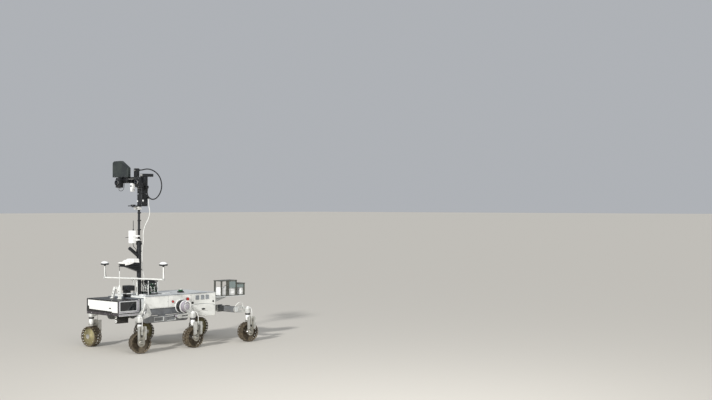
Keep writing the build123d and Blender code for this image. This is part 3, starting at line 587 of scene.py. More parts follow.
# %% The drum tree
DRUM_TREE, source, result = new_tree("perforated drum", [
    ("Cell", "Object"), ("Grouser", "Object"), ("Holes Around", "Int"), ("Rows", "Int"), ("Grousers", "Int"),
    ("Radius", "Float"), ("Width", "Float"), ("Sheet", "Float"), ("Material", "Material")])


def maths(tree, operation, first, second):
    """One maths node on two values or sockets."""
    node = add(tree, "ShaderNodeMath", {"operation": operation})
    for slot, value in enumerate((first, second)):
        if isinstance(value, (int, float)):
            node.inputs[slot].default_value = value
        else:
            tree.links.new(value, node.inputs[slot])
    return node.outputs[0]


cell_info = add(DRUM_TREE, "GeometryNodeObjectInfo", {}, {"Object": source.outputs["Cell"]})
bar_info = add(DRUM_TREE, "GeometryNodeObjectInfo", {}, {"Object": source.outputs["Grouser"]})
length = maths(DRUM_TREE, "MULTIPLY", source.outputs["Radius"], math.tau)
pitch = maths(DRUM_TREE, "DIVIDE", length, source.outputs["Holes Around"])
row_pitch = maths(DRUM_TREE, "DIVIDE", source.outputs["Width"], source.outputs["Rows"])
grid = add(DRUM_TREE, "GeometryNodeMeshGrid", {}, {
    "Size X": maths(DRUM_TREE, "SUBTRACT", length, pitch),
    "Size Y": maths(DRUM_TREE, "SUBTRACT", source.outputs["Width"], row_pitch),
    "Vertices X": source.outputs["Holes Around"], "Vertices Y": source.outputs["Rows"]})
where = add(DRUM_TREE, "GeometryNodeInputPosition")
split = add(DRUM_TREE, "ShaderNodeSeparateXYZ", {}, {0: where.outputs[0]})
row = maths(DRUM_TREE, "FLOOR", maths(DRUM_TREE, "DIVIDE", split.outputs["Y"], row_pitch), 0.0)
odd = maths(DRUM_TREE, "PINGPONG", row, 1.0)
shift = maths(DRUM_TREE, "MULTIPLY", maths(DRUM_TREE, "MULTIPLY", odd, 0.5), pitch)
offset = add(DRUM_TREE, "ShaderNodeCombineXYZ", {}, {"X": shift})
shifted = add(DRUM_TREE, "GeometryNodeSetPosition", {},
              {"Geometry": grid.outputs[0], "Offset": offset.outputs[0]})
cells = add(DRUM_TREE, "GeometryNodeInstanceOnPoints", {}, {
    "Points": shifted.outputs[0], "Instance": cell_info.outputs["Geometry"]})
flat = add(DRUM_TREE, "GeometryNodeRealizeInstances", {}, {"Geometry": cells.outputs[0]})
place = add(DRUM_TREE, "GeometryNodeInputPosition")
parts = add(DRUM_TREE, "ShaderNodeSeparateXYZ", {}, {0: place.outputs[0]})
angle = maths(DRUM_TREE, "DIVIDE", parts.outputs["X"], source.outputs["Radius"])
around = add(DRUM_TREE, "ShaderNodeCombineXYZ", {}, {
    "X": maths(DRUM_TREE, "MULTIPLY", maths(DRUM_TREE, "SINE", angle, 0.0), source.outputs["Radius"]),
    "Y": parts.outputs["Y"],
    "Z": maths(DRUM_TREE, "MULTIPLY", maths(DRUM_TREE, "COSINE", angle, 0.0), source.outputs["Radius"])})
wrapped = add(DRUM_TREE, "GeometryNodeSetPosition", {},
              {"Geometry": flat.outputs[0], "Position": around.outputs[0]})
welded = add(DRUM_TREE, "GeometryNodeMergeByDistance", {"Distance": 0.0002}, {"Geometry": wrapped.outputs[0]})
thick = add(DRUM_TREE, "GeometryNodeExtrudeMesh", {"mode": "FACES", "Individual": False}, {
    "Mesh": welded.outputs[0], "Offset Scale": maths(DRUM_TREE, "MULTIPLY", source.outputs["Sheet"], -1.0)})
inside = add(DRUM_TREE, "GeometryNodeFlipFaces", {}, {"Mesh": welded.outputs[0]})
shell = add(DRUM_TREE, "GeometryNodeJoinGeometry")
DRUM_TREE.links.new(thick.outputs["Mesh"], shell.inputs[0])
DRUM_TREE.links.new(inside.outputs[0], shell.inputs[0])
sheet = add(DRUM_TREE, "GeometryNodeMergeByDistance", {"Distance": 0.0001}, {"Geometry": shell.outputs[0]})
circle = add(DRUM_TREE, "GeometryNodeMeshCircle", {}, {
    "Vertices": source.outputs["Grousers"], "Radius": source.outputs["Radius"]})
upright = add(DRUM_TREE, "GeometryNodeTransform", {"Rotation": (math.pi / 2, 0, 0)},
              {"Geometry": circle.outputs[0]})
spot = add(DRUM_TREE, "GeometryNodeInputPosition")
outward = add(DRUM_TREE, "FunctionNodeAlignRotationToVector", {"axis": "Z", "pivot_axis": "Y"}, {
    "Vector": spot.outputs[0]})
bars = add(DRUM_TREE, "GeometryNodeInstanceOnPoints", {}, {
    "Points": upright.outputs[0], "Instance": bar_info.outputs["Geometry"], "Rotation": outward.outputs[0]})
joined = add(DRUM_TREE, "GeometryNodeJoinGeometry")
DRUM_TREE.links.new(sheet.outputs[0], joined.inputs[0])
DRUM_TREE.links.new(bars.outputs[0], joined.inputs[0])
solid = add(DRUM_TREE, "GeometryNodeRealizeInstances", {}, {"Geometry": joined.outputs[0]})
dressed = add(DRUM_TREE, "GeometryNodeSetMaterial", {}, {
    "Geometry": solid.outputs[0], "Material": source.outputs["Material"]})
DRUM_TREE.links.new(dressed.outputs[0], result.inputs[0])

cell = bpy.data.objects.new("drum_cell", cell_mesh())
grouser = bpy.data.objects.new("grouser", grouser_mesh())
drum = run_tree("drum", bpy.data.meshes.new("drum_base"), DRUM_TREE, {
    "Cell": cell, "Grouser": grouser, "Holes Around": HOLES_AROUND, "Rows": HOLE_ROWS, "Grousers": GROUSERS,
    "Radius": DRUM_R * MM, "Width": DRUM_W * MM, "Sheet": SHEET * MM, "Material": WHEEL_SHEET})
print("drum faces:", len(drum.polygons))

# %% [markdown]
# The cone, the hub and the rolled rims are turned, so they are spun round the axle. Each wheel gets the same
# parts, set at its own place and turned as it stands.

# %% Six wheels
OUTBOARD = Matrix(((1, 0, 0, 0), (0, 0, 1, 0), (0, -1, 0, 0), (0, 0, 0, 1)))
AXLE = Matrix.Translation((0, 0, AXLE_Z)) @ OUTBOARD
CONE = [(26, -54), (38, -51), (50, -46), (80, -35), (110.5, -24), (110.5, -22), (80, -33), (48, -43.5),
        (36, -49), (26, -51.5)]
CONE_SLOPE = 0.34
CONE_FACE = 0.94
# A dark copy of the cone, 2.5 mm to its outboard side, is painted shade on the cone's outboard face
CONE_SHADE_COPY = [(radius, y + 2.5) for radius, y in CONE]
CAP = [(0.5, -62), (20, -62), (26, -60), (27, -56), (27, 28), (25, 30), (12.6, 30)]
RIMS = [[(112.5, y), (112.8, y + 3.2 * out), (106, y + 4 * out), (103, y + 2.4 * out), (106, y + 1 * out)]
        for y, out in ((50.6, 1), (-50.6, -1))]
for name, _, side in UNITS:
    place = unit_matrix(name, side)
    bm = bmesh.new()
    bm.from_mesh(drum)
    for face in bm.faces:
        face.material_index = 0
    bmesh.ops.transform(bm, matrix=place @ Matrix.Translation((0, 0, AXLE_Z)), verts=bm.verts)
    lathe(bm, CONE, place @ AXLE, 64, 1, closed=True)
    lathe(bm, CONE_SHADE_COPY, place @ AXLE, 64, 0, closed=True)
    lathe(bm, CAP, place @ AXLE, 40, 2)
    for rim in RIMS:
        lathe(bm, rim, place @ AXLE, 72, 0, closed=True)
    piece_from(f"drum_wheel_{name}", bm, f"roll_{name}", WHEEL_SHEET, CHROMATED, STAINLESS,
               replaces=(f"wheel_{name}",), sharp=40)
    rows = circle_rows((0, -62, AXLE_HEIGHT), 17, 6, (0, -1, 0), 5)
    for count, radius, y in ((6, 38, -51), (12, 80, -35.5), (12, 102, -27)):
        for i in range(count):
            turn = math.tau * (i + 0.5) / count
            out_x, out_z = math.cos(turn), math.sin(turn)
            spot = (radius * out_x, y, AXLE_HEIGHT + radius * out_z)
            rows.append((spot, (CONE_SLOPE * out_x, -CONE_FACE, CONE_SLOPE * out_z), 6))
    screws(f"wheel_screws_{name}", f"roll_{name}", rows, matrix=place)
print("wheels done")

# %% [markdown]
# ## More helpers
# Rows of blocks stand for small housings and rails, and a cable is a curve through the route it has in the
# CAD model, thick as the real jacket.


# %% Blocks and cables
def blocks(bm, rows):
    """Rounded blocks from rows of middle, size, edge and material slot."""
    for middle, size, edge, material in rows:
        block(bm, middle, size, edge, material=material)


def cord(name, body, points, radius, material, replaces=(), matrix=Matrix()):
    """A cable held at both ends: a smooth spline along a route in mm."""
    curve = bpy.data.curves.new(name, "CURVE")
    curve.dimensions = "3D"
    curve.bevel_depth = radius * MM
    curve.bevel_resolution = 3
    curve.resolution_u = 6
    curve.use_fill_caps = True
    spline = curve.splines.new("NURBS")
    spline.points.add(len(points) - 1)
    for point, place in zip(spline.points, points):
        point.co = (*(matrix @ (Vector(place) * MM)), 1)
    spline.order_u = 3
    spline.use_endpoint_u = True
    curve.materials.append(material)
    piece = new_object(name, curve)
    if replaces:
        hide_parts(*replaces)
    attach(piece, body)


# On the caps of the walking drives this lilac grey is painted shade; on the instrument bay's side frames it
# is their own colour
LILAC_GREY = powder_coat("powder coat lilac grey", "#8f8a93", "#a39ea6")
DARK_LILAC = powder_coat("powder coat dark lilac", "#2b272e", "#3a353e", dust=0.2)
HOOD_GREEN = powder_coat("powder coat dark green grey", "#23282a", "#2f3533", dust=0.1)
WHITE_GLOSS = powder_coat("two pack paint white", "#e6e6e3", "#f4f4f1", roughness=0.3, dust=0.15)
print("helpers ready")

# %% [markdown]
# ## Legs and steering
# A leg is a folded channel with a rounded foot that holds the axle. Its upper end carries the lower half of
# the steering, a domed housing. The fixed half above it is a motor can on a black bearing ring.

# %% Legs
LEG_TOP = 308
LEG_FACE = 66
LEG_METAL = 4
FOOT_R = 42
YOKE_R = 33
FOOT = arc((FOOT_R, FOOT_R), math.pi, math.pi, 16, (0, AXLE_HEIGHT))
YOKE = arc((YOKE_R, YOKE_R), math.pi, math.pi, 12)
FLANGE = [(LEG_FACE, LEG_TOP), (122, LEG_TOP), (122, 182), (117, 168), (104, 158), (LEG_FACE, 158)]
# Profiles of turned parts are (radius, height), or (radius, distance outboard) about the axle
HOUSING = [(0.5, 249), (24, 249), (24, 262), (18, 265), (22.5, 273), (26, 284), (27, 297), (26.4, 309),
           (24, 319), (21, 325.5), (7, 325.8), (7, 416), (14, 416.5), (15, 418), (15, 424), (13, 426),
           (0.5, 426)]
FOOT_DISC = [(0.5, 79), (13, 79), (14, 78), (27, 78), (29.6, 76), (30, 73), (30, 66), (35, 65.9), (35, 63)]
AXLE_BAR = [(0.5, -53), (12, -53), (12, 63.5), (0.5, 63.5)]
# This darker copy of the bead-blasted aluminium is painted shade on the leg's web, yoke and foot disc
LEG_ALUMINIUM_PAINTED_SHADE = blasted_metal("aluminium bead blasted darkened as painted shade", "#a09f99", "#b0afa8")
for name, _, side in UNITS:
    place = unit_matrix(name, side)
    bm = bmesh.new()
    outside = place @ wall(1, LEG_FACE - LEG_METAL)
    plate(bm, FOOT + [(FOOT_R, LEG_TOP), (-FOOT_R, LEG_TOP)], 0, LEG_METAL, outside, 0.8)
    # Both flanges take the brighter aluminium, slot 4, as a painted highlight
    for start in (-FOOT_R, FOOT_R - LEG_METAL):
        plate(bm, FLANGE, 0, LEG_METAL, place @ front_wall(start), 0.6, 4)
    plate(bm, YOKE + [(YOKE_R, LEG_FACE), (-YOKE_R, LEG_FACE)], 250, 262, place, 1.0)
    lathe(bm, HOUSING, place, 40, 1)
    lathe(bm, FOOT_DISC, place @ AXLE, 40, 0)
    lathe(bm, AXLE_BAR, place @ AXLE, 24, 2)
    # The three black patches are painted shade: the upper two stand for open slots, the lowest for shade on
    # the foot disc
    for slot_z, high in ((154, 66.5), (136, 79.2), (104, 79.2)):
        plate(bm, rounded(30, 7, 3.4, 3, (0, slot_z)), 0, 0.8, place @ wall(1, high - 0.6), 0.2, 3)
    lathe(bm, [(0.5, 186), (6.5, 186), (8, 188), (8, 210), (6, 213), (0.5, 213)],
          place @ standing(0, 88), 20, 3)
    block(bm, (0, 75, 200), (10, 19, 14), 1.5, place, 3)
    piece_from(f"leg_channel_{name}", bm, f"steer_{name}", LEG_ALUMINIUM_PAINTED_SHADE, WHITE_GLOSS, STAINLESS,
               BLACK_ANODISED, ALUMINIUM, replaces=(f"leg_{name}",), sharp=38)
    rows = [((out, LEG_FACE, z), (0, 1, 0), 6) for out in (-30, 30) for z in (180, 292)]
    rows += [((out, y, 262), UP, 6) for out in (-26, 26) for y in (40, 54)]
    rows += [((out, y, 232), (math.copysign(1, out), 0, 0), 6) for out in (-FOOT_R, FOOT_R)
             for y in (78, 110)]
    rows += [((out, LEG_FACE, z), (0, 1, 0), 5)
             for out, z in arc((36, 36), math.pi, math.pi, 6, (0, AXLE_HEIGHT))]
    screws(f"leg_screws_{name}", f"steer_{name}", rows, matrix=place)

# %% Steering motors and their cables
BEARING = [(8.5, 327), (30, 327), (31.6, 328.5), (31.6, 343.5), (30, 345), (8.5, 345)]
CAN = [(8.5, 345.2), (26, 345.2), (27, 346.5), (27, 366), (26, 366.6), (26, 370), (27, 370.6), (27, 402),
       (25.6, 406), (20, 411.6), (8.5, 412)]
DRIVE_ROUTE = [(0, 15, 421), (0, 50, 421), (0, 84, 405), (0, 101, 362), (0, 100, 310), (0, 88, 262),
               (0, 88, 212)]
bm = bmesh.new()
rows = []
for name, x, side in UNITS:
    place = unit_matrix(name, side)
    lathe(bm, BEARING, place, 40, 1, closed=True)
    lathe(bm, CAN, place, 40, 0, closed=True)
    still = Matrix.Translation(place.translation)
    block(bm, (0, -side * 33, 388), (20, 16, 26), 2, still, 1)
    for turn in range(6):
        angle = math.tau * turn / 6
        spot = (x / MM + 22.5 * math.cos(angle), side * TRACK_Y + 22.5 * math.sin(angle), 409)
        rows.append((spot, UP, 4.5))
    cord(f"drive_lead_{name}", f"steer_{name}", DRIVE_ROUTE, 3.5, WHITE_JACKET, (f"drive_cable_{name}",),
         place)
piece_from("steering_cans", bm, "chassis", WHITE_GLOSS, BLACK_ANODISED, replaces=("steering_motors",),
           sharp=38)
screws("steering_can_screws", "chassis", rows)
print("legs and steering done")

# %% [markdown]
# ## Bogies and walking drives
# The walking drive beside the middle wheels is a stack of turned rings, some light and some dark; its lilac
# grey caps and the black sleeve over the beam end are painted shade. The beams have pockets with a pale
# raised edge.

# %% Walking drives
MID_DRIVE = (75, 475)
FRONT_DRIVE = (626, 430)
LINK_DRIVE = (191, 372)
BEAM_Y = 362
BRACKET_Y = 440
# The black band from 319 to 362 is a sleeve over the beam end, painted shade for the shaded gap between the
# body's flange and the drive. Slot 2 puts the lilac grey on the caps as painted shade.
# Columns: inner and outer end from the rover's middle, radius, slot
MID_BANDS = [
    (310, 319, 80, 0), (319, 362, 72, 1), (362, 368, 79, 1), (368, 384, 71, 1), (384, 390, 73, 0),
    (390, 400, 64, 2), (400, 424, 58, 2),
]
FRONT_BANDS = [(362, 376, 30, 1), (376, 410, 27, 0), (410, 424, 30, 1)]
LINK_BANDS = [(362, 372, 17, 1), (372, 424, 15, 2)]
bm = bmesh.new()
rows = []
for side in (1, -1):
    for (px, pz), bands in ((MID_DRIVE, MID_BANDS), (FRONT_DRIVE, FRONT_BANDS), (LINK_DRIVE, LINK_BANDS)):
        spin = along((px, 0, pz), (0, side, 0))
        for start, end, radius, slot in bands:
            ring = [(0.5, start), (radius - 1.5, start), (radius, start + 1.5), (radius, end - 1.5),
                    (radius - 1.5, end), (0.5, end)]
            lathe(bm, ring, spin, 56 if radius > 40 else 32, slot)
    spin = along((MID_DRIVE[0], 0, MID_DRIVE[1]), (0, side, 0))
    lathe(bm, [(0.5, 447), (18, 447), (20, 446), (20, 444), (31, 443), (33, 441), (33, 439.5)], spin, 40, 2)
    for (px, pz), out, radius, count, head, start in (
            (MID_DRIVE, 322, 73, 12, 7, 0), (MID_DRIVE, 443.4, 25.5, 8, 5, 0),
            (FRONT_DRIVE, BRACKET_Y, 18, 6, 6, 0), (LINK_DRIVE, BRACKET_Y, 12, 5, 5, 0.6)):
        rows += circle_rows((px, side * out, pz), radius, count, (0, side, 0), head, start)
piece_from("walking_drive_bands", bm, "chassis", WHITE_GLOSS, BLACK_ANODISED, LILAC_GREY,
           replaces=("walking_drives",), sharp=38)

# %% Beam details
bm = bmesh.new()
for side in (1, -1):
    for start, length in ((360, 130), (190, 150)):
        middle = (start + length / 2, 352)
        frame_plate(bm, rounded(length + 8, 54, 6, 4, middle), rounded(length - 2, 42, 4, 4, middle), -7.5,
                    1.5, wall(side, BEAM_Y), 0.6, 0)
    spin = along((330, 0, 352), (0, side, 0))
    lathe(bm, [(0.5, 367), (9, 367), (10, 366), (24, 366), (26, 364), (26, 361.8)], spin, 40, 3)
    for (px, pz), radius in ((MID_DRIVE, 50), (FRONT_DRIVE, 34)):
        spin = along((px, 0, pz), (0, side, 0))
        lathe(bm, [(radius - 7, 361.8), (radius - 6, 363), (radius - 2, 363), (radius - 1, 361.8)], spin,
              48, 0, closed=True)
    rows += circle_rows((330, side * 366, 352), 18, 6, (0, side, 0), 5)
    rows += [((px, side * BEAM_Y, pz), (0, side, 0), 6) for px in (176, 350, 500, 560) for pz in (330, 374)]
    rows += [((776 + dx, side * BRACKET_Y, dz), (0, side, 0), 6)
             for dx, dz in ((-5, 380), (-90, 516), (-150, 452))]
    rows += [((-827 + dx, side * BRACKET_Y, dz), (0, side, 0), 6)
             for dx, dz in ((5, 374), (60, 438), (150, 412))]
    rows += [((21 + dx, side * BRACKET_Y, dz), (0, side, 0), 6)
             for dx, dz in ((0, 378), (85, 376), (20, 430))]
behind = along((-464, 0, 395), BACK)
lathe(bm, [(43, 12), (60, 12), (63, 13.5), (63, 18), (61, 19.5), (43, 19.5)], behind, 56, 2, closed=True)
lathe(bm, [(41.5, 24), (43, 25), (43, 172), (41.5, 173)], behind, 56, 1, closed=True)
for y in (-119, 119):
    block(bm, (-677, y, 395), (77, 20, 89), 3)
for side in (1, -1):
    block(bm, (-677, side * 270, 432), (34, 60, 10), 2, material=2)
    plate(bm, rounded(44, 56, 6, 4, (-677, 395)), 0, 5, wall(side, BRACKET_Y), 1.0, 0)
piece_from("beam_details", bm, "chassis", PALE_GREY_POWDER, WHITE_GLOSS, BLACK_ANODISED, DARK_POWDER,
           sharp=38)
rows += circle_rows((-483.5, 0, 395), 54, 10, BACK, 7)
screws("bogie_screws", "chassis", rows)
print("bogies done")

# %% [markdown]
# ## Body and instrument bay
# The housing gets its panel joints, painted shadow lines along its creases, screws and louvres. The
# instrument bay is folded sheet: a black front frame round the white board, side frames round the windows,
# and rails under them.

# %% Vents and covers
SIDE_Y = 310
DECK_TOP = 615
BAY_FRONT_X = 941
VENT_Z = 562
bm = bmesh.new()
rows = []
for side in (1, -1):
    face = wall(side, SIDE_Y)
    for x in (-175, -253, -325):
        frame_plate(bm, rounded(54, 54, 6, 4, (x, VENT_Z)), rounded(44, 44, 3, 4, (x, VENT_Z)), 0, 4, face,
                    0.8, 0)
        plate(bm, rounded(46, 46, 3, 3, (x, VENT_Z)), 0, 0.8, face, 0.2, 1)
        for step in range(5):
            slat = standing(x, side * (SIDE_Y + 2), 545 + 8.6 * step)
            tilt = slat @ Matrix.Rotation(side * math.radians(32), 4, "X")
            block(bm, (0, 0, 0), (44, 1.4, 8), 0.5, tilt, 0)
        rows += [((x + dx, side * (SIDE_Y + 4), VENT_Z + dz), (0, side, 0), 4) for dx in (-24, 24)
                 for dz in (-24, 24)]
    for x, z, wide, high, panel in ((-104, 504, 30, 22, 0), (-417, 507, 18, 18, 0), (-263, 423, 46, 16, 5)):
        oval = arc((wide * 0.6, high * 0.65), 0, math.tau, 28, (x, z))[:-1]
        plate(bm, oval, 0, 5.4, wall(side, SIDE_Y + panel), 1.2, 1)
piece_from("vents_and_covers", bm, "chassis", GREY_POWDER, BLACK_PLASTIC, replaces=("side_fittings",),
           sharp=35)


# %% Panel joints and painted crease shadows
def bow(first, middle, last, steps=10):
    """Points of a shallow curve through three points."""
    points = []
    for i in range(steps + 1):
        t = i / steps
        shares = ((1 - t) * (1 - 2 * t), 4 * t * (1 - t), t * (2 * t - 1))
        points.append(tuple(sum(k * p[axis] for k, p in zip(shares, (first, middle, last)))
                            for axis in (0, 1)))
    return points


# The crease lines are painted shadow along the raised creases of the side panels
# Columns: y of the face, points of the line, width of the line along x and z
CREASE_SHADOWS = [
    (SIDE_Y, bow((-446, 461), (-250, 485), (-94, 467)), (0, 4)),
    (SIDE_Y, bow((-94, 466), (-157, 383), (-296, 334)), (3, -3)),
    (SIDE_Y + 5, bow((-330, 392), (-250, 403), (-180, 388)), (0, 3)),
]
bm = bmesh.new()
for side in (1, -1):
    face = wall(side, SIDE_Y)
    for x, low, high in ((-84, 476, 606), (252, 476, 606), (-452, 340, 606)):
        plate(bm, [(x - 0.8, low), (x + 0.8, low), (x + 0.8, high), (x - 0.8, high)], 0, 0.35, face, 0.1, 0)
    for low, high, z in ((-452, 575, 602), (-80, 575, 480)):
        plate(bm, [(low, z - 0.7), (high, z - 0.7), (high, z + 0.7), (low, z + 0.7)], 0, 0.35, face, 0.1, 0)
    # The dark strip along the top of each side is partly the deck's dark edge and partly painted shade under
    # it
    block(bm, (61, side * 307.2, 612), (1030, 2.6, 5), 0.4)
    for y, line, wide in CREASE_SHADOWS:
        edges = line + [(px + wide[0], pz + wide[1]) for px, pz in reversed(line)]
        plate(bm, edges, 0, 0.35, wall(side, y), 0.05, 0)
    for x in (-92, -76, 244, 260, 568):
        rows += [((x, side * SIDE_Y, z), (0, side, 0), 5) for z in (488, 542, 594)]
    rows += [((x, side * SIDE_Y, 594), (0, side, 0), 5) for x in range(-436, 560, 124)]
    rows += [((x, side * 296, 436 + dz), (0, side, 0), 5) for x in range(20, 560, 90) for dz in (-26, 26)]
    rows += [((x, side * (SIDE_Y + 5), z), (0, side, 0), 6)
             for x, z in ((-430, 452), (-430, 350), (-300, 352), (-130, 456))]
for y in range(-240, 241, 96):
    rows += [((-464, y, z), BACK, 6) for z in (350, 520, 590)]
for x in (-90, 215):
    plate(bm, [(x - 1, -300), (x + 1, -300), (x + 1, 300), (x - 1, 300)], DECK_TOP, DECK_TOP + 0.4,
          Matrix(), 0.1, 0)
piece_from("panel_joints", bm, "chassis", DARK_POWDER)
rows += [((x, y, DECK_TOP), UP, 7) for x in range(-444, 560, 112) for y in (-296, 296)]
rows += [((x, y, DECK_TOP), UP, 7) for x in (-450, 572) for y in (-180, -60, 60, 180)]
screws("body_screws", "chassis", rows)

# %% Stop buttons
bm = bmesh.new()
for side in (1, -1):
    for x, z, knob, stem, reach in ((-22, 556, 19, 10, 24), (191, 537, 14, 8, 16)):
        spin = along((x, side * SIDE_Y, z), (0, side, 0))
        lathe(bm, [(0.5, reach), (knob * 0.6, reach - 0.4), (knob - 1, reach - 2), (knob, reach - 4),
                   (knob - 1, reach - 7.5), (stem, reach - 8), (stem, 0), (0.5, 0)], spin, 36, 0)
        lathe(bm, [(stem + 0.3, 0.2), (stem + 7, 0.2), (stem + 7, 1.6), (stem + 6, 2.4), (stem + 0.3, 2.4)],
              spin, 36, 1, closed=True)
piece_from("mushroom_buttons", bm, "chassis", RED_PLASTIC, DARK_POWDER, replaces=("stop_buttons",))

# %% Instrument bay
BAY_PLATE = rounded(276, 624, 6, 3, (809, 0))
WINDOW = (813, 519)
bm = bmesh.new()
rows = []
plate(bm, BAY_PLATE, 580, 587, Matrix(), 1.2, 1)
plate(bm, BAY_PLATE, 410, 416, Matrix(), 0.5, 2)
block(bm, (674, 0, 498), (6, 618, 166), 1, material=1)
frame_plate(bm, rounded(622, 139, 3, 3, (0, 511.5)), rounded(584, 126, 2, 3, (0, 511)), 0, 6.4,
            front_wall(BAY_FRONT_X), 1, 1)
blocks(bm, [((943.5, 0, 441), (8, 618, 3), 0.8, 1), ((943, 0, 428), (7, 620, 24), 1.2, 3),
            ((944, 0, 413), (8, 624, 6), 1.5, 1), ((812, 0, 470), (200, 500, 60), 6, 1)])
for side in (1, -1):
    face = wall(side, 306)
    frame_plate(bm, rounded(272, 168, 4, 4, (808, 499)), rounded(226, 104, 8, 4, WINDOW), 0, 6, face, 0.8, 0)
    frame_plate(bm, rounded(240, 118, 9, 4, WINDOW), rounded(224, 102, 7, 4, WINDOW), 6, 8, face, 0.5, 2)
    blocks(bm, [((808, side * 313, 447), (268, 5, 5), 1, 2), ((808, side * 313, 429), (268, 5, 5), 1, 2),
                ((808, side * 312.6, 438), (262, 2, 10), 0.5, 1),
                ((943, side * 304, 508), (9, 15, 146), 1.5, 1)])
    rows += [((808 + dx, side * 312, 519 + dz), (0, side, 0), 5) for dx in (-126, -42, 42, 130)
             for dz in (-62, 61)]
    rows += [((947.5, side * y, z), AHEAD, 5) for y in (299, 180, 60) for z in (442.5, 579)]
    rows += [((946.5, side * y, 428), AHEAD, 6) for y in (296, 220, 140, 50)]
    rows += [((x, side * 304, 587), UP, 6) for x in (684, 760, 860, 936)]
piece_from("instrument_case", bm, "chassis", LILAC_GREY, BLACK_ANODISED, PALE_GREY_POWDER, DARK_LILAC,
           replaces=("front_box",), sharp=35)
screws("instrument_case_screws", "chassis", rows)

bm = bmesh.new()
BOARD_EDGE = [(-290, 572), (290, 572), (290, 449), (184, 449), (184, 460), (-266, 468), (-266, 502),
              (-290, 502)]
plate(bm, rounded(583, 125, 2, 3, (0, 511)), 0, 2.6, front_wall(BAY_FRONT_X), 0.5, 1)
plate(bm, BOARD_EDGE, 2.6, 4.4, front_wall(BAY_FRONT_X), 0.5, 0)
block(bm, (945.5, 145, 494), (1.6, 40, 13), 0.5, material=1)
piece_from("calibration_board", bm, "chassis", WHITE_PLASTIC, BLACK_PLASTIC, replaces=("front_board",))

# %% Neck cladding
bm = bmesh.new()
for side in (1, -1):
    for start, end, slot in ((586, 622, 0), (627, 640, 1), (645, 668, 0)):
        plate(bm, rounded(end - start, 168, 3, 3, ((start + end) / 2, 503)), 0, 3, wall(side, 288), 0.8, slot)
piece_from("neck_cladding", bm, "chassis", PALE_GREY_POWDER, BLACK_ANODISED)

# %% Front sensor
SENSOR_Y = 175
bm = bmesh.new()
block(bm, (808, SENSOR_Y, 365), (150, 50, 90), 5)
for z in (345, 390):
    spin = along((883, SENSOR_Y, z), AHEAD)
    lathe(bm, [(0.5, 5), (7, 5.4), (15, 6.2), (17, 5), (17, -0.5)], spin, 36, 1)
    lathe(bm, [(0.5, 6.4), (4, 6.2), (6.4, 5.4), (6.4, 5)], spin, 32, 2)
for x in (750, 772, 794, 816, 838):
    block(bm, (x, 200.4, 365), (8, 2, 74), 0.6)
blocks(bm, [((808, SENSOR_Y, 409), (120, 60, 6), 1.5, 3), ((728, SENSOR_Y, 372), (14, 20, 14), 2, 3)])
piece_from("range_sensor", bm, "chassis", BLACK_ANODISED, WHITE_PLASTIC, LENS_GLASS, GREY_POWDER,
           replaces=("front_sensor",), sharp=35)
screws("range_sensor_screws", "chassis",
       [((884, SENSOR_Y + dy, z), AHEAD, 4) for dy in (-19, 19) for z in (326, 404)])
cord("range_sensor_lead", "chassis",
     [(726, 175, 372), (708, 175, 372), (690, 172, 384), (682, 170, 400), (682, 170, 413)], 3, BLACK_JACKET)
print("body done")

# %% [markdown]
# ## Deck, mast and rack
# Small housings stand on the deck: the bracket with its whip, a camera on a pedestal and the open crate
# of electronics. The mast carries a shelf with a cloth cover and a radio. The rack behind holds modules.

# %% Bracket and camera
bm = bmesh.new()
ARCH = [(-83, 587), (-30, 722), (84, 722), (101, 587), (60, 587), (44, 700), (-2, 700), (-46, 587)]
plate(bm, ARCH, 0, 20, front_wall(756), 0.8, 0)
for y, z in ((-60, 610), (-48, 640), (-34, 674), (14, 711), (42, 711), (72, 674), (78, 640), (82, 610)):
    lathe(bm, [(0.5, 20.5), (6, 20.5), (6.5, 19.9)], along((756, y, z), AHEAD), 20, 1)
for y in (-64, 80):
    block(bm, (778, y, 592), (26, 36, 8), 2)
whip = standing(766, 74)
lathe(bm, [(0.5, 722), (9, 722), (9, 734), (5, 740), (3, 748), (3, 868), (0.5, 868)], whip, 20, 0)
lathe(bm, [(0.5, 868), (4.6, 869), (4.6, 906), (0.5, 907)], whip, 20, 2)
lathe(bm, [(0.5, 906), (2.4, 907), (2, 956), (0.5, 957)], whip, 16, 1)
piece_from("deck_arch", bm, "chassis", WHITE_POWDER, BLACK_ANODISED, WHITE_PLASTIC,
           replaces=("deck_bracket",), sharp=35)

bm = bmesh.new()
blocks(bm, [((588, 0, 699), (102, 106, 61), 6, 0), ((612, 0, 633), (54, 82, 72), 4, 0),
            ((612, 0, 638), (70, 98, 11), 3, 1), ((588, 0, 726), (70, 80, 8), 3, 0),
            ((534, 22, 700), (10, 18, 18), 2, 1)])
for z in range(684, 720, 9):
    block(bm, (588, 0, z), (103.6, 107.4, 3), 0.8)
look = along((638, 26, 698), AHEAD)
lathe(bm, [(0.5, 1), (13, 1), (14, 5), (18, 6), (21, 5), (22, 0)], look, 40, 0)
lathe(bm, [(0.5, 4), (7, 3.4), (13, 1.4), (13, 0.8)], look, 32, 2)
lathe(bm, [(0.5, 1), (9, 1), (10, 4), (13, 4), (14, 0)], along((638, -28, 698), AHEAD), 32, 0)
piece_from("pedestal_camera", bm, "chassis", BLACK_ANODISED, WHITE_PLASTIC, LENS_GLASS,
           replaces=("deck_camera",))

# %% Electronics crate
CRATE_X = 331
CRATE_Y = 60
bm = bmesh.new()
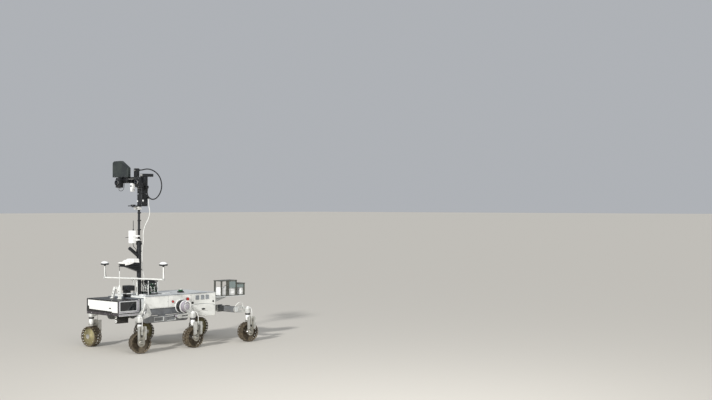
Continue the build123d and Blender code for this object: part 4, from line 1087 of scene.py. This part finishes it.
# Chips, housings and capacitors follow each other in an order that looks unplanned
for level, z in enumerate((655, 700, 740)):
    block(bm, (CRATE_X, CRATE_Y, z - 6), (108, 128, 2.4), 0.5)
    for i in range(5):
        for j in range(6):
            kind = (i * 5 + j * 3 + level * 7) % 11
            middle = (CRATE_X + (i - 2) * 20, CRATE_Y + (j - 2.5) * 20, z)
            if kind < 4:
                block(bm, (*middle[:2], z - 3), (14, 14, 3.4), 0.5, material=1)
            elif kind < 7:
                block(bm, (*middle[:2], z), (9, 15, 9), 1, material=2)
            elif kind < 9:
                lathe(bm, [(0.5, 8), (4.4, 8), (5, 7), (5, -5), (0.5, -5)], standing(*middle), 16, 3)
for z in (676, 718, 758):
    block(bm, (CRATE_X, CRATE_Y, z), (98, 112, 26), 2, material=1)
for i in range(46):
    high = 636 + (i * 29) % 130
    slot = (1, 0, 2, 1, 3, 0, 1, 2, 0, 1)[i % 10]
    size = 6 + (i * 7) % 9
    if i % 2:
        block(bm, (283 + (i * 41) % 98, 117 + (i % 3), high), (size + 4, 12, size), 1, material=slot)
    else:
        block(bm, (382 + (i % 3), 6 + (i * 31) % 110, high), (12, size + 4, size), 1, material=slot)
piece_from("crate_boards", bm, "chassis", BOARD_MASK, CHIP_BODY, WHITE_PLASTIC, STAINLESS,
           replaces=("circuit_boards",))
bm = bmesh.new()
blocks(bm, [((393, 118, 698), (9, 9, 160), 2, 0), ((268, 127.5, 700), (7, 5, 120), 1, 0),
            ((CRATE_X, CRATE_Y, 783), (90, 96, 7), 2, 1), ((320, 40, 792), (44, 30, 14), 3, 2),
            ((352, 92, 790), (30, 26, 10), 2, 3)])
piece_from("crate_lid", bm, "chassis", WHITE_GLOSS, BLACK_ANODISED, WHITE_PLASTIC, BOARD_MASK)
for i in range(7):
    y = 10 + 16 * i
    mid = 20 + (i * 37) % 30
    route = [(388, y, 650), (396, y, 650), (404, y + 4, 662), (404 + mid / 6, y + 6, 690), (400, y + 2, 716),
             (392, y, 732), (384, y, 736)]
    cord(f"crate_wire_{i}", "chassis", route, 2.2, (WHITE_JACKET, BLACK_JACKET)[i % 2])
for i in range(4):
    x = 290 + 24 * i
    route = [(x, 121, 652), (x, 129, 654), (x + 3, 134, 668), (x + 6, 134, 690), (x + 3, 130, 706),
             (x, 121, 708)]
    cord(f"crate_side_wire_{i}", "chassis", route, 2.2, (BLACK_JACKET, WHITE_JACKET)[i % 2])

# %% Deck fittings
bm = bmesh.new()
blocks(bm, [((-91, 100, 624), (64, 52, 16), 3, 0), ((-91, 100, 641), (44, 34, 20), 4, 1),
            ((-91, 100, 652), (20, 14, 8), 2, 2), ((120, 0, 620), (120, 200, 9), 3, 2),
            ((505, -150, 622), (60, 90, 13), 3, 2), ((505, 160, 622), (50, 70, 13), 3, 2),
            ((220, -170, 625), (90, 70, 20), 4, 3)])
lathe(bm, [(0.5, 662), (5, 661), (6, 655), (6, 650), (0.5, 650)], standing(-100, 100), 20, 2)
piece_from("deck_fittings", bm, "chassis", BLACK_PLASTIC, BOARD_MASK, WHITE_GLOSS, BLACK_ANODISED)
MAST_X = 441
FLANGE_BOLTS = circle_rows((MAST_X, 0, 625), 33, 8, UP, 7)
FLANGE_BOLTS += [((x, y, 625), UP, 5) for x in (78, 162) for y in (-90, 90)]
screws("deck_fitting_screws", "chassis", FLANGE_BOLTS)

# %% Antennas
bm = bmesh.new()
DOME = arc((45, 25), 0, math.pi / 2, 8, (0, 15))[:-1] + [(0.5, 40)]
# Columns: side, height of the arm, height of the receiver
ANTENNAS = ((1, 818, 978), (-1, 794, 950))
ANTENNA_X = 521
ANTENNA_Y = 570
for side, bar_z, low in ANTENNAS:
    place = standing(ANTENNA_X, side * ANTENNA_Y, low)
    lathe(bm, [(0.5, -3), (44, -3), (48, 0), (48, 12), (46, 15), (0.5, 15)], place, 48, 1)
    lathe(bm, [(0.5, 15.2)] + DOME, place, 48, 0)
    lathe(bm, [(0.5, -16), (11, -16), (12, -14), (12, -1), (0.5, -1)], place, 24, 1)
    block(bm, (ANTENNA_X, side * ANTENNA_Y, bar_z), (26, 24, 26), 3, material=2)
piece_from("antenna_pucks", bm, "chassis", WHITE_GLOSS, BLACK_ANODISED, ALUMINIUM, replaces=("antennas",))
for side, bar_z, low in ANTENNAS:
    y = side * ANTENNA_Y
    cord(f"antenna_lead_{'right' if side < 0 else 'left'}", "chassis",
         [(512, y, low - 14), (511, y, low - 60), (511, y - side * 2, bar_z + 40),
          (510, y - side * 14, bar_z + 14), (510, y - side * 60, bar_z - side * 1 - 6),
          (510, side * 360, bar_z - side * 4 - 6), (510, side * 200, 800 + side * 4), (510, side * 90, 799),
          (506, side * 50, 790), (500, side * 40, 770)],
         2.2, BLACK_JACKET)

# %% Mast, radio and shelf details
bm = bmesh.new()
for z, radius in ((640, 29), (760, 29), (905, 29), (1120, 29), (1206, 34.5), (1262, 17), (1372, 17),
                  (1480, 17), (1570, 17)):
    band = standing(MAST_X, 0, z)
    lathe(bm, [(radius - 4, -9), (radius, -8), (radius, 8), (radius - 4, 9)], band, 36, 0, closed=True)
    block(bm, (MAST_X - radius - 3, 0, z), (12, 14, 12), 1.5)
piece_from("mast_clamps", bm, "chassis", BLACK_ANODISED)
bm = bmesh.new()
blocks(bm, [((521, -22, 1289), (51, 83, 149), 7, 0), ((521, -22, 1289), (52, 84, 3), 1, 1),
            ((548, -22, 1300), (4, 56, 90), 1.5, 0), ((478, 14, 1300), (40, 60, 18), 3, 0),
            ((478, 14, 1256), (40, 60, 18), 3, 0), ((521, -2, 1211), (16, 16, 8), 2, 1)])
lathe(bm, [(0.5, 1362), (8, 1362), (8, 1374), (5, 1380), (3.6, 1388), (3, 1478), (0.5, 1480)],
      standing(500, -30), 20, 1)
lathe(bm, [(0.5, -4), (6, -4), (6, 8), (3, 10), (3, 46), (0.5, 47)],
      along((530, -62, 1282), (0.69, -0.73, 0)), 16, 1)
piece_from("radio_unit", bm, "chassis", WHITE_GLOSS, BLACK_ANODISED, replaces=("mast_radio",))
cord("radio_lead", "chassis", [(521, -2, 1208), (521, -2, 1190), (512, -2, 1172), (494, -4, 1160),
                               (478, -8, 1150), (470, -10, 1130), (469, -10, 1090)], 3, BLACK_JACKET)

# %% Rack modules
RACK_Y = 230
bm = bmesh.new()
rows = []
for x, wide in ((-606, 74), (-735, 108), (-892, 52)):
    block(bm, (x, RACK_Y, 607), (wide, 102, 96), 4)
    blocks(bm, [((x, 283, 624), (wide - 20, 5, 8), 1.5, 0), ((x, 283, 585), (wide - 28, 4, 14), 1.5, 0)])
    rows += [((x + dx, 281, z), (0, 1, 0), 5) for dx in (6 - wide / 2, wide / 2 - 6) for z in (566, 638)]
    for i in range(int(wide // 14)):
        block(bm, (x - wide / 2 + 10 + 14 * i, RACK_Y, 656), (7, 84, 4), 1)
piece_from("rack_units", bm, "chassis", WHITE_GLOSS, replaces=("rack_modules",))
for x0, x1 in ((-930, -794), (-794, -661), (-661, -556)):
    rows += [((x, 300, z), (0, 1, 0), 5) for x in (x0 + 10, x1 - 10) for z in (566, 684)]
screws("rack_screws", "chassis", rows)
for i, (x0, x1) in enumerate(((-700, -620), (-760, -872))):
    route = [(x0, 262, 652), (x0, 262, 660), (x0 + (x1 - x0) * 0.2, 262, 676),
             (x0 + (x1 - x0) * 0.5, 262, 684), (x0 + (x1 - x0) * 0.8, 262, 672), (x1, 262, 660),
             (x1, 262, 652)]
    cord(f"rack_lead_{i}", "chassis", route, 3, BLACK_JACKET)
print("deck done")

# %% [markdown]
# ## Weather cover
# The cover on the mast's shelf is a loose rectangle of white cloth. A flat sheet falls on the equipment
# under it and hangs over three edges, so its corners hang lowest.


# %% Cloth
def woven(name, dark, light):
    """Plain woven cloth with a fine thread grain."""
    material = dusty_finish(name, dark, light, 30, (0.9, 0.18), 0.85, 0.0, 0.2, 0.8)
    material.node_tree.nodes["Principled BSDF"].inputs["Sheen Weight"].default_value = 0.25
    return material


COVER_CLOTH = woven("polyester woven white", "#dcdad4", "#eeece7")
# Size, middle and starting height of the flat sheet, in metres
COVER_SIZE = (0.232, 0.196)
COVER_MIDDLE = (0.588, 0.004)
COVER_START = 1.046
COVER_RIPPLE = 0.0015
CLOTH_FRAMES = 46
# Columns: middle, size, edge radius
EQUIPMENT = [((526, 0, 1009), (96, 118, 50), 14), ((590, 0, 996), (70, 112, 42), 14),
             ((580, 0, 978), (200, 138, 36), 8)]


def settle(sheet_mesh, solids, frames):
    """Let a flat mesh fall on solids as cloth and give back its last shape."""
    scene = bpy.context.scene
    helpers = []
    for middle, size, edge in solids:
        bm = bmesh.new()
        block(bm, middle, size, edge)
        helper = new_object("cover_support", mesh_from("cover_support", bm))
        helper.modifiers.new("Collision", "COLLISION")
        helper.collision.thickness_outer = 0.002
        helper.collision.cloth_friction = 40
        helpers.append(helper)
    falling = new_object("falling_sheet", sheet_mesh)
    cloth = falling.modifiers.new("Cloth", "CLOTH")
    cloth.settings.quality = 8
    cloth.settings.mass = 0.12
    cloth.settings.air_damping = 4
    cloth.settings.tension_stiffness = 60
    cloth.settings.compression_stiffness = 60
    cloth.settings.shear_stiffness = 20
    cloth.settings.bending_stiffness = 0.35
    cloth.collision_settings.distance_min = 0.002
    cloth.point_cache.frame_start = 1
    cloth.point_cache.frame_end = frames
    for frame in range(1, frames + 1):
        scene.frame_set(frame)
    graph = bpy.context.evaluated_depsgraph_get()
    settled = bpy.data.meshes.new_from_object(falling.evaluated_get(graph))
    scene.frame_set(1)
    for item in (*helpers, falling):
        bpy.data.objects.remove(item)
    return settled


bm = bmesh.new()
bmesh.ops.create_grid(bm, x_segments=46, y_segments=40, size=0.5)
for vert in bm.verts:
    x, y = vert.co.x * COVER_SIZE[0], vert.co.y * COVER_SIZE[1]
    lift = COVER_RIPPLE * math.sin(x * 60) * math.cos(y * 47)
    vert.co = Vector((COVER_MIDDLE[0] + x, COVER_MIDDLE[1] + y, COVER_START + lift))
sheet_mesh = bpy.data.meshes.new("weather_sheet")
bm.to_mesh(sheet_mesh)
bm.free()
sheet_mesh = settle(sheet_mesh, EQUIPMENT, CLOTH_FRAMES)
sheet_mesh.materials.clear()
sheet_mesh.materials.append(COVER_CLOTH)
for face in sheet_mesh.polygons:
    face.use_smooth = True
cover = new_object("weather_sheet", sheet_mesh)
thickness = cover.modifiers.new("Thickness", "SOLIDIFY")
thickness.thickness = 0.0008
thickness.offset = 1
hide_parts("weather_cover")
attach(cover, "chassis")
heights = [vert.co.z for vert in sheet_mesh.vertices]
print("cover hangs from", round(max(heights), 3), "down to", round(min(heights), 3))

# %% Equipment under the cover
# These blocks are a little smaller than the supports, so that the cloth lies clear of them
bm = bmesh.new()
block(bm, (526, 0, 1009), (93, 115, 47), 13)
block(bm, (590, 0, 996), (67, 109, 39), 13)
block(bm, (578, 0, 978), (192, 132, 33), 7)
for x in (540, 610):
    block(bm, (x, 0, 972), (10, 150, 12), 2)
piece_from("covered_equipment", bm, "chassis", BLACK_ANODISED)

# %% [markdown]
# ## Camera head
# The head pans on the mast's plate and tilts on a shaft. Its bench carries a camera at each side, a third
# one under its middle, and a dark hood over its right half.


# %% Pan and tilt
def strap(first, first_r, second, second_r, steps=9):
    """Outline of two circles joined by straight edges."""
    way = Vector(second) - Vector(first)
    aim = math.atan2(way.y, way.x)
    spread = math.acos((first_r - second_r) / way.length)
    points = []
    for middle, radius, start, turn in ((second, second_r, aim - spread, 2 * spread),
                                        (first, first_r, aim + spread, math.tau - 2 * spread)):
        points += arc((radius, radius), start, turn, steps, middle)
    return points


PAN_X = 391
TILT_Z = 1870
bm = bmesh.new()
for low, high in ((1655, 1663), (1774, 1784)):
    plate(bm, rounded(97, 93, 13, 5, (PAN_X, 0)), low, high, Matrix(), 1.5, 0)
blocks(bm, [((343, 46, 1744), (20, 24, 20), 3, 0), ((342, -14, 1700), (6, 40, 60), 2, 0),
            ((PAN_X, 46.5, 1700), (60, 5, 70), 2, 0), ((PAN_X, -46.5, 1700), (60, 5, 70), 2, 0),
            ((540, 20, 1639), (26, 26, 10), 2, 1), ((505, -26, 1660), (46, 36, 10), 3, 1),
            ((480, 34, 1634), (22, 18, 20), 3, 2), ((420, 50, 1712), (14, 8, 20), 2, 2),
            ((442, -28, 1706), (6, 16, 16), 2, 2), ((449, 0, 1624), (55, 51, 38), 3, 2)])
lathe(bm, [(21.5, 1784), (46, 1784), (46, 1794), (21.5, 1794)], standing(PAN_X, 0), 48, 0, closed=True)
lathe(bm, [(0.5, 1610), (11, 1611), (12, 1614), (12, 1642), (0.5, 1644)], standing(500, 0), 24, 2)
piece_from("pan_base_details", bm, "chassis", BLACK_ANODISED, BLACK_PLASTIC, WHITE_GLOSS)
rows = [((PAN_X + dx, dy, 1663), UP, 6) for dx in (-46, 46) for dy in (-44, 44)]
rows += [((560, dy, 1655), UP, 6) for dy in (-40, 40)] + [((362, dy, 1655), UP, 6) for dy in (-48, 48)]
screws("pan_base_screws", "chassis", rows)

bm = bmesh.new()
plate(bm, rounded(97, 93, 13, 5, (PAN_X, 0)), 1796, 1804, Matrix(), 1.5, 0)
plate(bm, rounded(90, 86, 11, 5, (PAN_X, 0)), 1925, 1931, Matrix(), 2, 0)
blocks(bm, [((342, 0, 1860), (6, 60, 80), 2, 0), ((440, 0, 1840), (6, 60, 50), 2, 0),
            ((441, 4, 1886), (6, 30, 11), 2, 1)])
piece_from("pan_body_details", bm, "pan", BLACK_ANODISED, WHITE_GLOSS)
rows = [((PAN_X + dx, dy, 1930.5), UP, 5) for dx in (-38, 38) for dy in (-36, 36)]
rows += [((443, dy, z), AHEAD, 5) for dy in (-24, 24) for z in (1822, 1858)]
screws("pan_body_screws", "pan", rows)

# %% Bench
bm = bmesh.new()
blocks(bm, [((529, 0, 1950), (44, 519, 69), 4, 0), ((521, 0, 1950), (60, 119, 69), 4, 0),
            ((511, 50, 2035), (39, 59, 99), 5, 0), ((497, 225, 2003), (149, 59, 35), 5, 0),
            ((PAN_X, 79, TILT_Z), (39, 34, 33), 4, 0), ((551.5, -120, 1950), (3, 90, 44), 1, 1),
            ((551.5, 95, 1950), (3, 60, 44), 1, 1), ((511, 50, 2086), (26, 40, 4), 1, 2),
            ((532, 40, 2062), (6, 26, 13), 2, 2), ((553, -6, 1962), (4, 112, 5), 1, 2),
            ((420, 225, 2003), (6, 30, 20), 1, 2), ((573, 225, 2006), (5, 40, 22), 1, 2)])
for side in (1, -1):
    plate(bm, strap((PAN_X, TILT_Z), 26, (503, 1935), 16), 0, 8, wall(side, 52), 1.2, 0)
    lathe(bm, [(0.5, 64), (10, 64), (12, 62), (16, 62), (17, 60), (17, 59)],
          along((PAN_X, 0, TILT_Z), (0, side, 0)), 32, 2)
lathe(bm, [(0.5, -60), (12, -60), (12, 60), (0.5, 60)], along((PAN_X, 0, TILT_Z), (0, 1, 0)), 24, 2)
for y in (-230, -150, 150):
    lathe(bm, [(0.5, 12), (6, 12), (8, 10), (8, 0), (0.5, 0)], along((507, y, 1944), BACK), 24, 2)
piece_from("bench_frame", bm, "tilt", BLACK_ANODISED, BLACK_PLASTIC, STAINLESS, replaces=("camera_bench",),
           sharp=35)
rows = [((551, y, z), AHEAD, 5) for y in (-250, -215, -90, -60, 60, 90, 215, 250) for z in (1924, 1976)]
rows += [((x, y, 1985), UP, 6) for x in (516, 542) for y in (-60, -20, 110, 150)]
for side in (1, -1):
    rows += circle_rows((PAN_X, side * 60.5, TILT_Z), 21, 6, (0, side, 0), 4)
screws("bench_screws", "tilt", rows)

# %% Cameras
CAMERA_Y = 190
CAMERA_Z = 1920
bm = bmesh.new()
rows = []
for y in (CAMERA_Y, -CAMERA_Y):
    blocks(bm, [((580, y, CAMERA_Z), (56, 79, 114), 5, 0), ((607, y, CAMERA_Z), (5, 72, 106), 1.5, 0),
                ((580, y, 1858.5), (30, 40, 5), 1.5, 1), ((565, y + 41, 1900), (22, 5, 26), 1.5, 1)])
    look = along((609, y, CAMERA_Z), AHEAD)
    lathe(bm, [(17, 2), (20, 16), (24, 21.5), (28, 21.5), (28, 19), (26, 17), (26, 4), (28, 2), (28, -1)],
          look, 44, 0)
    lathe(bm, [(0.5, 12), (9, 11), (17.2, 7.6), (17.4, 7)], look, 36, 2)
    lathe(bm, [(27.4, 8), (28.4, 8.6), (28.4, 11.4), (27.4, 12)], look, 44, 3, closed=True)
    rows += [((609.5, y + dy, CAMERA_Z + dz), AHEAD, 5) for dy in (-32, 32) for dz in (-48, 48)]
    lathe(bm, [(0.5, 10), (5, 10), (6.5, 8), (6.5, 0), (0.5, 0)], along((580, y - 12, 1861), (0, 0, -1)),
          20, 3)
piece_from("stereo_cameras", bm, "tilt", BLACK_ANODISED, BLACK_PLASTIC, LENS_GLASS, STAINLESS,
           replaces=("cameras",))

bm = bmesh.new()
block(bm, (533, 0, 1865), (35, 45, 99), 7)
block(bm, (551, 0, 1865), (3, 34, 84), 1)
lathe(bm, [(0.5, 3), (6, 3), (7, 5), (10, 5), (11, 0)], along((551, 0, 1880), AHEAD), 28, 2)
for z in (1826, 1836, 1846):
    block(bm, (533, 0, z), (36.4, 46.4, 3), 0.8, material=1)
piece_from("middle_camera", bm, "tilt", WHITE_GLOSS, BLACK_ANODISED, LENS_GLASS, replaces=("centre_camera",))
screws("camera_screws", "tilt", rows)

# %% Hood
HOOD_X = 545
HOOD_EDGE = [(-325, 1985), (-325, 2150), (-321, 2160), (-300, 2172), (-290, 2174), (-170, 2176), (-160, 2174),
             (-26, 2096), (-20, 2088), (-20, 1985)]
bm = bmesh.new()
plate(bm, HOOD_EDGE, 0, 38, front_wall(HOOD_X), 2, 0)
INNER = [(-312, 1998), (-312, 2148), (-296, 2160), (-170, 2163), (-34, 2084), (-34, 1998)]
plate(bm, INNER, 38, 40, front_wall(HOOD_X), 1, 1)
for y, z in ((-300, 2008), (-300, 2140), (-180, 2150), (-60, 2076), (-48, 2008), (-175, 2008)):
    block(bm, (586, y, z), (3, 12, 12), 1)
for y in (-270, -175, -70):
    blocks(bm, [((540, y, 1998), (12, 26, 30), 2, 2), ((540, y, 2010), (10, 10, 40), 2, 2)])
piece_from("hood_panel", bm, "tilt", HOOD_GREEN, HOOD_GREEN, BLACK_ANODISED, replaces=("bench_hood",),
           sharp=35)
screws("hood_screws", "tilt", [((583, y, 2000), AHEAD, 5) for y in (-280, -220, -140, -70)])

# %% Long cables
HEAD_ROUTE = [
    (491, 50, 2066), (440, 50, 2066), (386, 56, 2082), (322, 64, 2079), (258, 72, 2051), (208, 80, 2003),
    (180, 84, 1938), (178, 88, 1868), (198, 88, 1805), (240, 88, 1752), (286, 88, 1727), (329, 88, 1727),
    (368, 88, 1750), (391, 88, 1789), (391, 88, 1853),
]
MAST_ROUTE = [
    (342, 50, 1735), (342, 50, 1690), (338, 56, 1635), (331, 62, 1585), (338, 60, 1530), (360, 54, 1475),
    (388, 47, 1425), (402, 38, 1370), (407, 33, 1310), (404, 37, 1245), (409, 31, 1180), (416, 25, 1120),
    (416, 27, 1055), (413, 25, 990), (415, 28, 930), (404, 26, 880), (386, 24, 830), (386, 24, 780),
]
cord("head_loop", "tilt", HEAD_ROUTE, 7, BLACK_JACKET, ("head_cable",))
cord("mast_lead", "chassis", MAST_ROUTE, 4, WHITE_JACKET, ("mast_cable",))
bm = bmesh.new()
GLAND = [(7.5, -4), (11, -2), (11, 12), (9, 30), (7.5, 32)]
lathe(bm, GLAND, along(HEAD_ROUTE[0], BACK), 24, 0, closed=True)
lathe(bm, GLAND, along(HEAD_ROUTE[-1], (0, 0, -1)), 24, 0, closed=True)
piece_from("head_loop_glands", bm, "tilt", BLACK_PLASTIC)

# %% Short leads
for name, side in SIDES:
    y = side * CAMERA_Y
    cord(f"camera_lead_{name}", "tilt", [(580, y - 12, 1852), (580, y - 12, 1838), (566, y - 14, 1826),
         (540, y - 16, 1824), (514, y - 18, 1838), (500, y - 20, 1872), (496, y - 22, 1908),
         (500, y - 24, 1936), (510, y - 24, 1944)], 2.6, BLACK_JACKET)
    front = [(588, 305, 540), (604, 330, 556), (628, 372, 574), (656, 418, 576), (682, 446, 560),
             (698, 456, 532), (706, 454, 500), (712, 448, 470), (716, 441, 450)]
    middle = [(96, 424, 518), (94, 444, 536), (80, 452, 548), (58, 454, 540), (42, 452, 512), (36, 448, 480),
              (40, 440, 452)]
    rear = [(-668, 424, 436), (-672, 440, 452), (-690, 450, 474), (-724, 454, 484), (-756, 452, 472),
            (-774, 447, 450), (-778, 440, 428)]
    for place, route in (("front", front), ("mid", middle), ("rear", rear)):
        cord(f"bracket_loop_{place}_{name}", "chassis", [(px, side * py, pz) for px, py, pz in route], 4,
             WHITE_JACKET)
print("head done")

# %% [markdown]
# ## Floor, light and camera
# A sun lamp stands low in front of the rover, and a large soft lamp at its left side fills the shadows. The
# camera stands where the photographer stood, 14 m away and at eye height, and looks level along the floor.

# %% Floor
FLOOR_SIZE = 400
bpy.ops.mesh.primitive_plane_add(size=FLOOR_SIZE, location=(0, 0, 0))
floor = bpy.context.object
floor.name = "floor"
floor_material, _, floor_surface = finish_material("studio floor matt", 0.9)
floor_surface.inputs["Base Color"].default_value = linear("#cfcac0")
paint(floor_material, floor)

# %% Light
world = bpy.data.worlds.new("studio")
bpy.context.scene.world = world
world.use_nodes = True
world.node_tree.nodes["Background"].inputs[0].default_value = linear("#e4e8ee")
world.node_tree.nodes["Background"].inputs[1].default_value = 0.55


def lamp(name, kind, energy, size, place, aim):
    """One lamp that points from a place to an aim."""
    light = bpy.data.lights.new(name, kind)
    light.energy = energy
    if kind == "AREA":
        light.size = size
    else:
        light.angle = size
    holder = new_object(name, light)
    holder.location = place
    holder.rotation_euler = (Vector(aim) - Vector(place)).to_track_quat("-Z", "Y").to_euler()


lamp("sun", "SUN", 3.1, math.radians(4), (9.0, 3.5, 5.0), (0, 0, 0.6))
lamp("fill", "AREA", 150, 4.0, (2.5, 6.0, 4.0), (0, 0, 0.8))

# %% Camera
CAMERA_PLACE = (8.711, 11.313, 1.66)
CAMERA_LOOK = (-0.7264, -0.6873, 0.0)
camera_data = bpy.data.cameras.new("camera")
camera = new_object("camera", camera_data)
camera.location = CAMERA_PLACE
camera.rotation_euler = Vector(CAMERA_LOOK).to_track_quat("-Z", "Y").to_euler()
camera_data.sensor_width = 36
camera_data.lens = 59.69
camera_data.shift_y = 0.0071
camera_data.clip_end = 600
bpy.context.scene.camera = camera
bpy.context.scene.view_settings.view_transform = "Standard"
